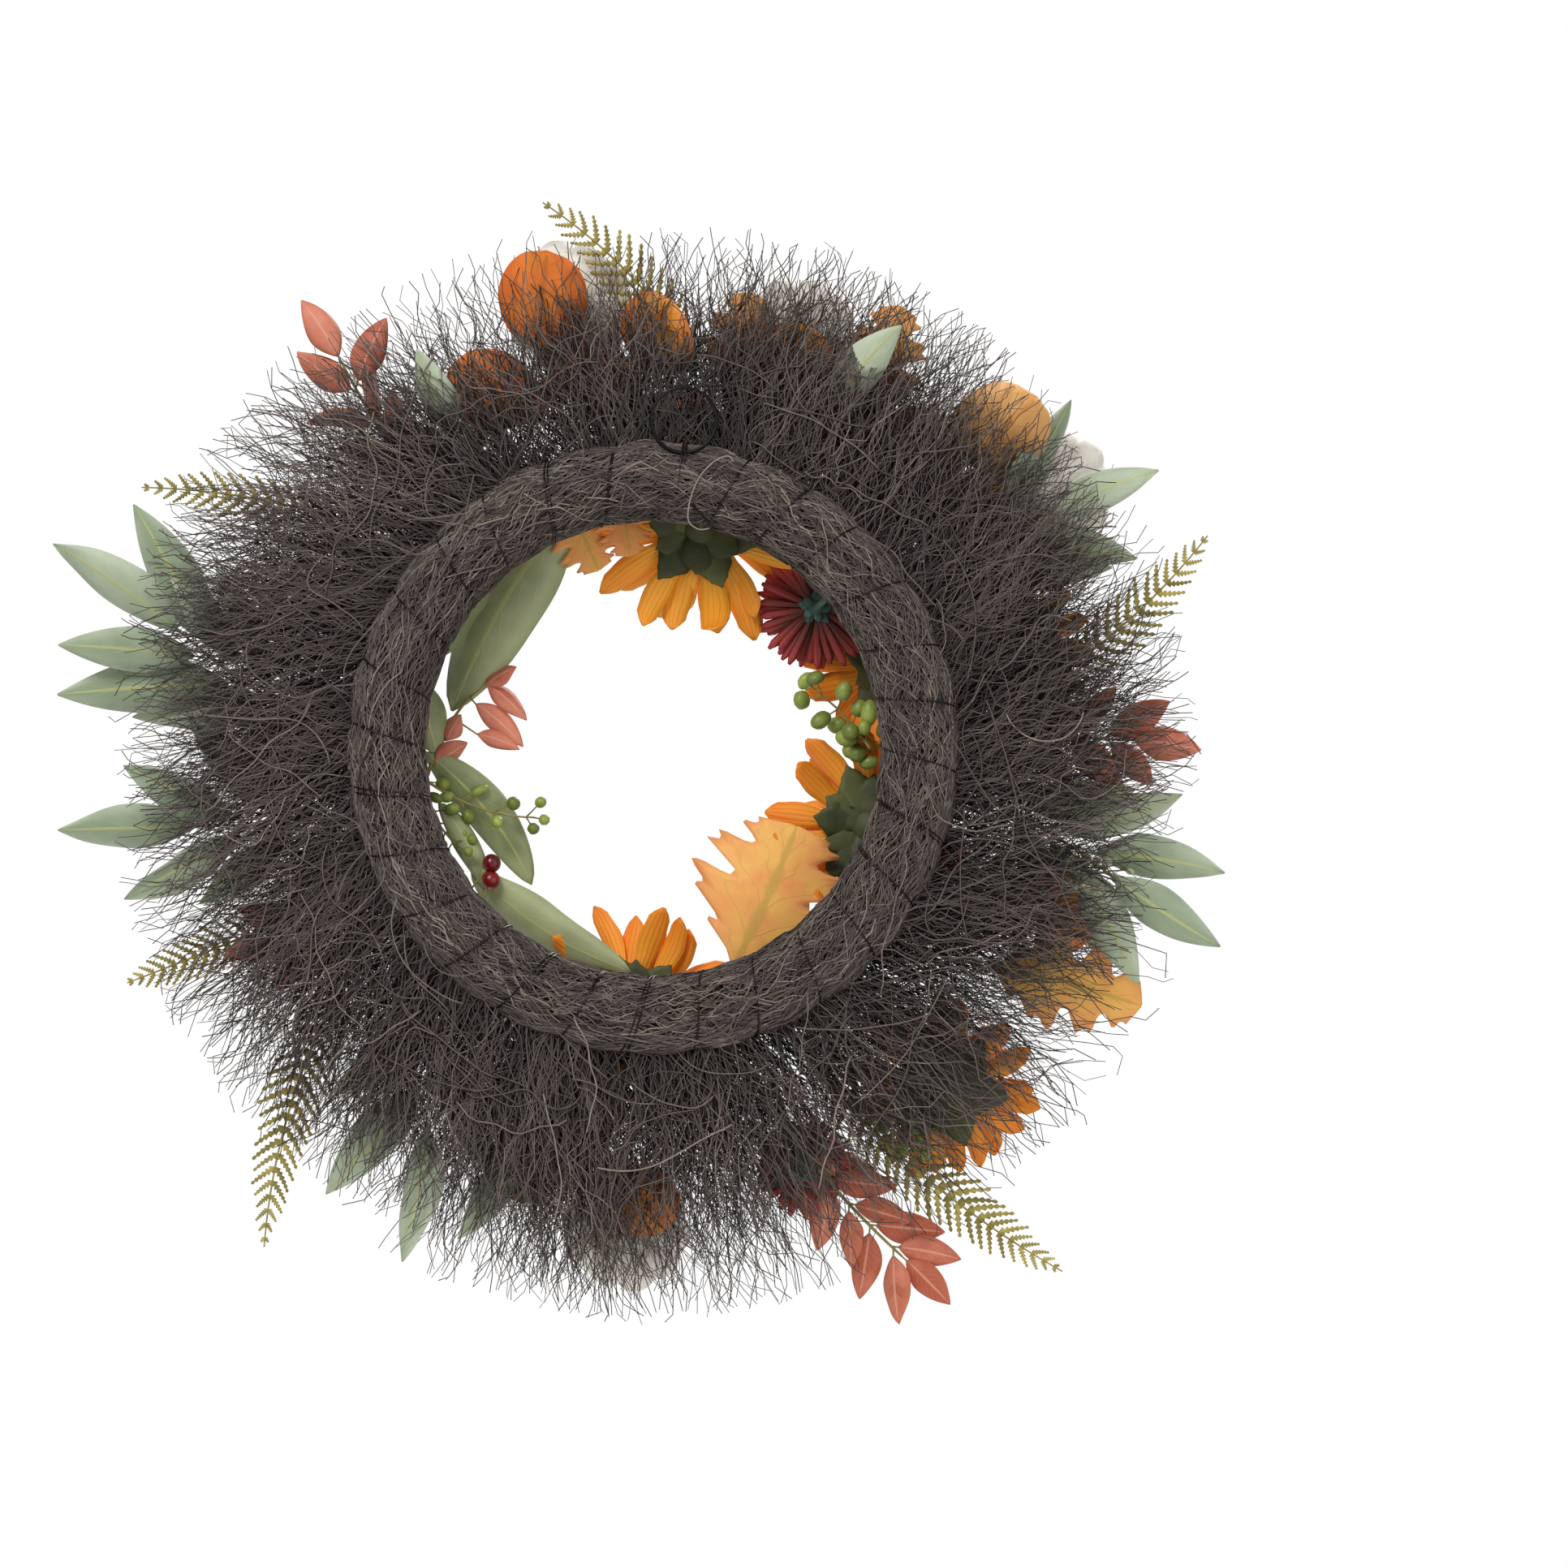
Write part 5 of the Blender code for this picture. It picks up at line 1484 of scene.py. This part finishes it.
def add_mum(number):
    """Rounds of straps from the back to the front, each round steeper and shorter than the last."""
    rng = np.random.default_rng(700 + number)
    middle, half = middle_of(f"mum_{number}")
    radius = float(half[0])
    base = middle - FRONT * (half[1] - 0.003)
    parts = []
    for layer, (count, tilt, size) in enumerate(MUM_ROUNDS):
        foot, way = rays(count, rng.random(), base + FRONT * 0.0012 * layer, 0.0025,
                         tilt + rng.normal(0, 0.10, count))
        length = radius * size * rng.uniform(0.88, 1.06, count)
        grid = strips(foot, way, FRONT + rng.normal(0, 0.15, (count, 3)), length, STRAP_WIDTH, STRAP_SHAPE,
                      STRAP_ROWS, 3, curl=0.25 - 0.2 * tilt, sway=rng.normal(0, 0.12, count), cup=1.2)
        parts.append(skin(grid, 0.0005, rng.uniform(0.1, 0.9, count)))
    points, groups, tones = joined(parts)
    add_piece(f"mum_{number}_petals", points, groups, WINE, [f"mum_{number}"], tones=tones)
    add_calyx(f"mum_{number}_calyx", base - FRONT * 0.001, 5, 0.0085, 0.0050, TEAL, base[1] + 0.004, [], 0.4)


MUM_COUNT = sum(name.startswith("mum_") for name in frame["nodes"])
for number in range(1, MUM_COUNT + 1):
    add_mum(number)
print(MUM_COUNT, "mums of", sum(row[0] for row in MUM_ROUNDS), "petals")

# %% [markdown]
# ## Pumpkins
#
# The small pumpkins are painted foam. A pumpkin is a squashed ball whose radius falls
# in at each rib and whose height falls in round the stem. The stem is a ribbed, bent
# tube that flares where it was cut.


# %% Pumpkins
def pumpkin_finish():
    """Off-white that drifts with a soft noise, with brown specks where a fine noise is low."""
    made = Finish("painted foam pumpkin")
    drift = made.noise(40.0, 5.0) * 1.3 - 0.2
    body = drift.ramp((0.25, screen(196, 188, 176)), (0.55, screen(226, 221, 211)),
                      (0.85, screen(240, 237, 230)))
    speck = made.noise(420.0, 2.0).below(0.36, 0.05)
    colour = (speck * 0.5).between(body, screen(160, 142, 118))
    return made.finish(colour, made.noise(260.0, 4.0), 0.0006, made.noise(200.0) * 0.2 + 0.6)


PUMPKIN = pumpkin_finish()
DRY_STEM = plant_finish("dry pumpkin stem", screen(96, 76, 46), screen(158, 132, 86), 0.8, 220.0)
RIBS = 10
ROWS = 45
COLUMNS = 100
STEM_RADIUS = 0.0052
STEM_SIDES = 20
STEM_RIDGES = 5
STEM_TWIST = 5


def add_pumpkin(number):
    """A ball in angles down from its front pole and round it. Its width falls in at the ribs, where
    a cosine of the angle round it is near 0, and its height falls in near the front pole."""
    rng = np.random.default_rng(900 + number)
    middle, half = middle_of(f"pumpkin_{number}")
    radius, depth = float(half[0]), float(half[1])
    down = np.linspace(0.0, np.pi, ROWS)[:, None]
    around = 2 * np.pi * np.arange(COLUMNS)[None, :] / COLUMNS
    lean = rng.uniform(0, 6)
    groove = np.abs(np.cos(RIBS * (around + lean) / 2)) ** 0.55
    rib = 0.87 + 0.13 * groove * (0.6 + 0.4 * np.sin(down))
    wobble = 1 + 0.02 * np.sin(3 * around + lean) + 0.01 * np.sin(5 * around + 2 * lean)
    wide = np.sin(down) ** 0.85 * rib * wobble
    dimple = 1 - 0.24 * np.exp(-((np.sin(down) / 0.34) ** 2)) * (np.cos(down) > 0)
    ahead = np.cos(down) * dimple * (0.93 + 0.07 * groove * np.sin(down))
    grid = np.stack([radius * wide * np.cos(around), -depth * ahead * np.ones_like(around),
                     radius * wide * np.sin(around)], axis=-1) + middle
    index = np.arange(ROWS * COLUMNS).reshape(ROWS, COLUMNS)
    after = np.roll(index, -1, axis=1)
    faces = np.stack([index[:-1], after[:-1], after[1:], index[1:]], axis=-1)[:, :, ::-1]
    v, u = np.meshgrid(np.linspace(0, 1, ROWS), np.linspace(0, 1, COLUMNS + 1), indexing="ij")
    uv = np.stack([u, v], axis=-1)
    tile = np.stack([uv[:-1, :-1], uv[:-1, 1:], uv[1:, 1:], uv[1:, :-1]], axis=-2)[:, :, ::-1]
    groups = [(faces.reshape(-1, 4), tile.reshape(-1, 4, 2), None)]
    piece = add_piece(f"pumpkin_{number}_body", grid.reshape(-1, 3), groups, PUMPKIN,
                      [f"pumpkin_{number}"])
    close_poles(piece)
    add_stem(number, rng)


def close_poles(piece):
    """Merge the points that meet at the poles, and drop the faces that vanish there."""
    built = bmesh.new()
    built.from_mesh(piece.data)
    bmesh.ops.remove_doubles(built, verts=built.verts, dist=1e-6)
    bmesh.ops.recalc_face_normals(built, faces=built.faces)
    built.to_mesh(piece.data)
    built.free()


def add_stem(number, rng):
    """A tube that leans with the square of the place along it. A cosine round it makes its ridges."""
    middle, half = middle_of(f"pumpkin_stem_{number}")
    share = np.linspace(0, 1, 14)
    lean = rng.uniform(-0.5, 0.5, 2)
    start = middle - FRONT * (half[1] + 0.002)
    path = start + FRONT * (share * (2 * half[1] + 0.001))[:, None]
    path = path + np.stack([lean[0] * share ** 2, 0 * share, lean[1] * share ** 2], -1) * 0.010
    radii = STEM_RADIUS * (1.15 - 0.9 * share + 0.75 * share ** 3)
    points, groups = tubes(path[None], radii[None], STEM_SIDES, (1.0, 0.0, 0.0))
    centre = np.repeat(path, STEM_SIDES, axis=0)
    turn = np.tile(np.arange(STEM_SIDES), len(path)) + np.repeat(share * STEM_TWIST, STEM_SIDES)
    ridge = 1 + 0.16 * np.cos(2 * np.pi * turn * STEM_RIDGES / STEM_SIDES)
    points = centre + (points - centre) * ridge[:, None]
    add_piece(f"pumpkin_{number}_stem", points, groups, DRY_STEM,
              [f"pumpkin_stem_{number}"], tones={"tone": np.repeat(share, STEM_SIDES)})


PUMPKIN_COUNT = sum(name.startswith("pumpkin_stem_") for name in frame["nodes"])
for number in range(1, PUMPKIN_COUNT + 1):
    add_pumpkin(number)
print(PUMPKIN_COUNT, "pumpkins with", RIBS, "ribs")
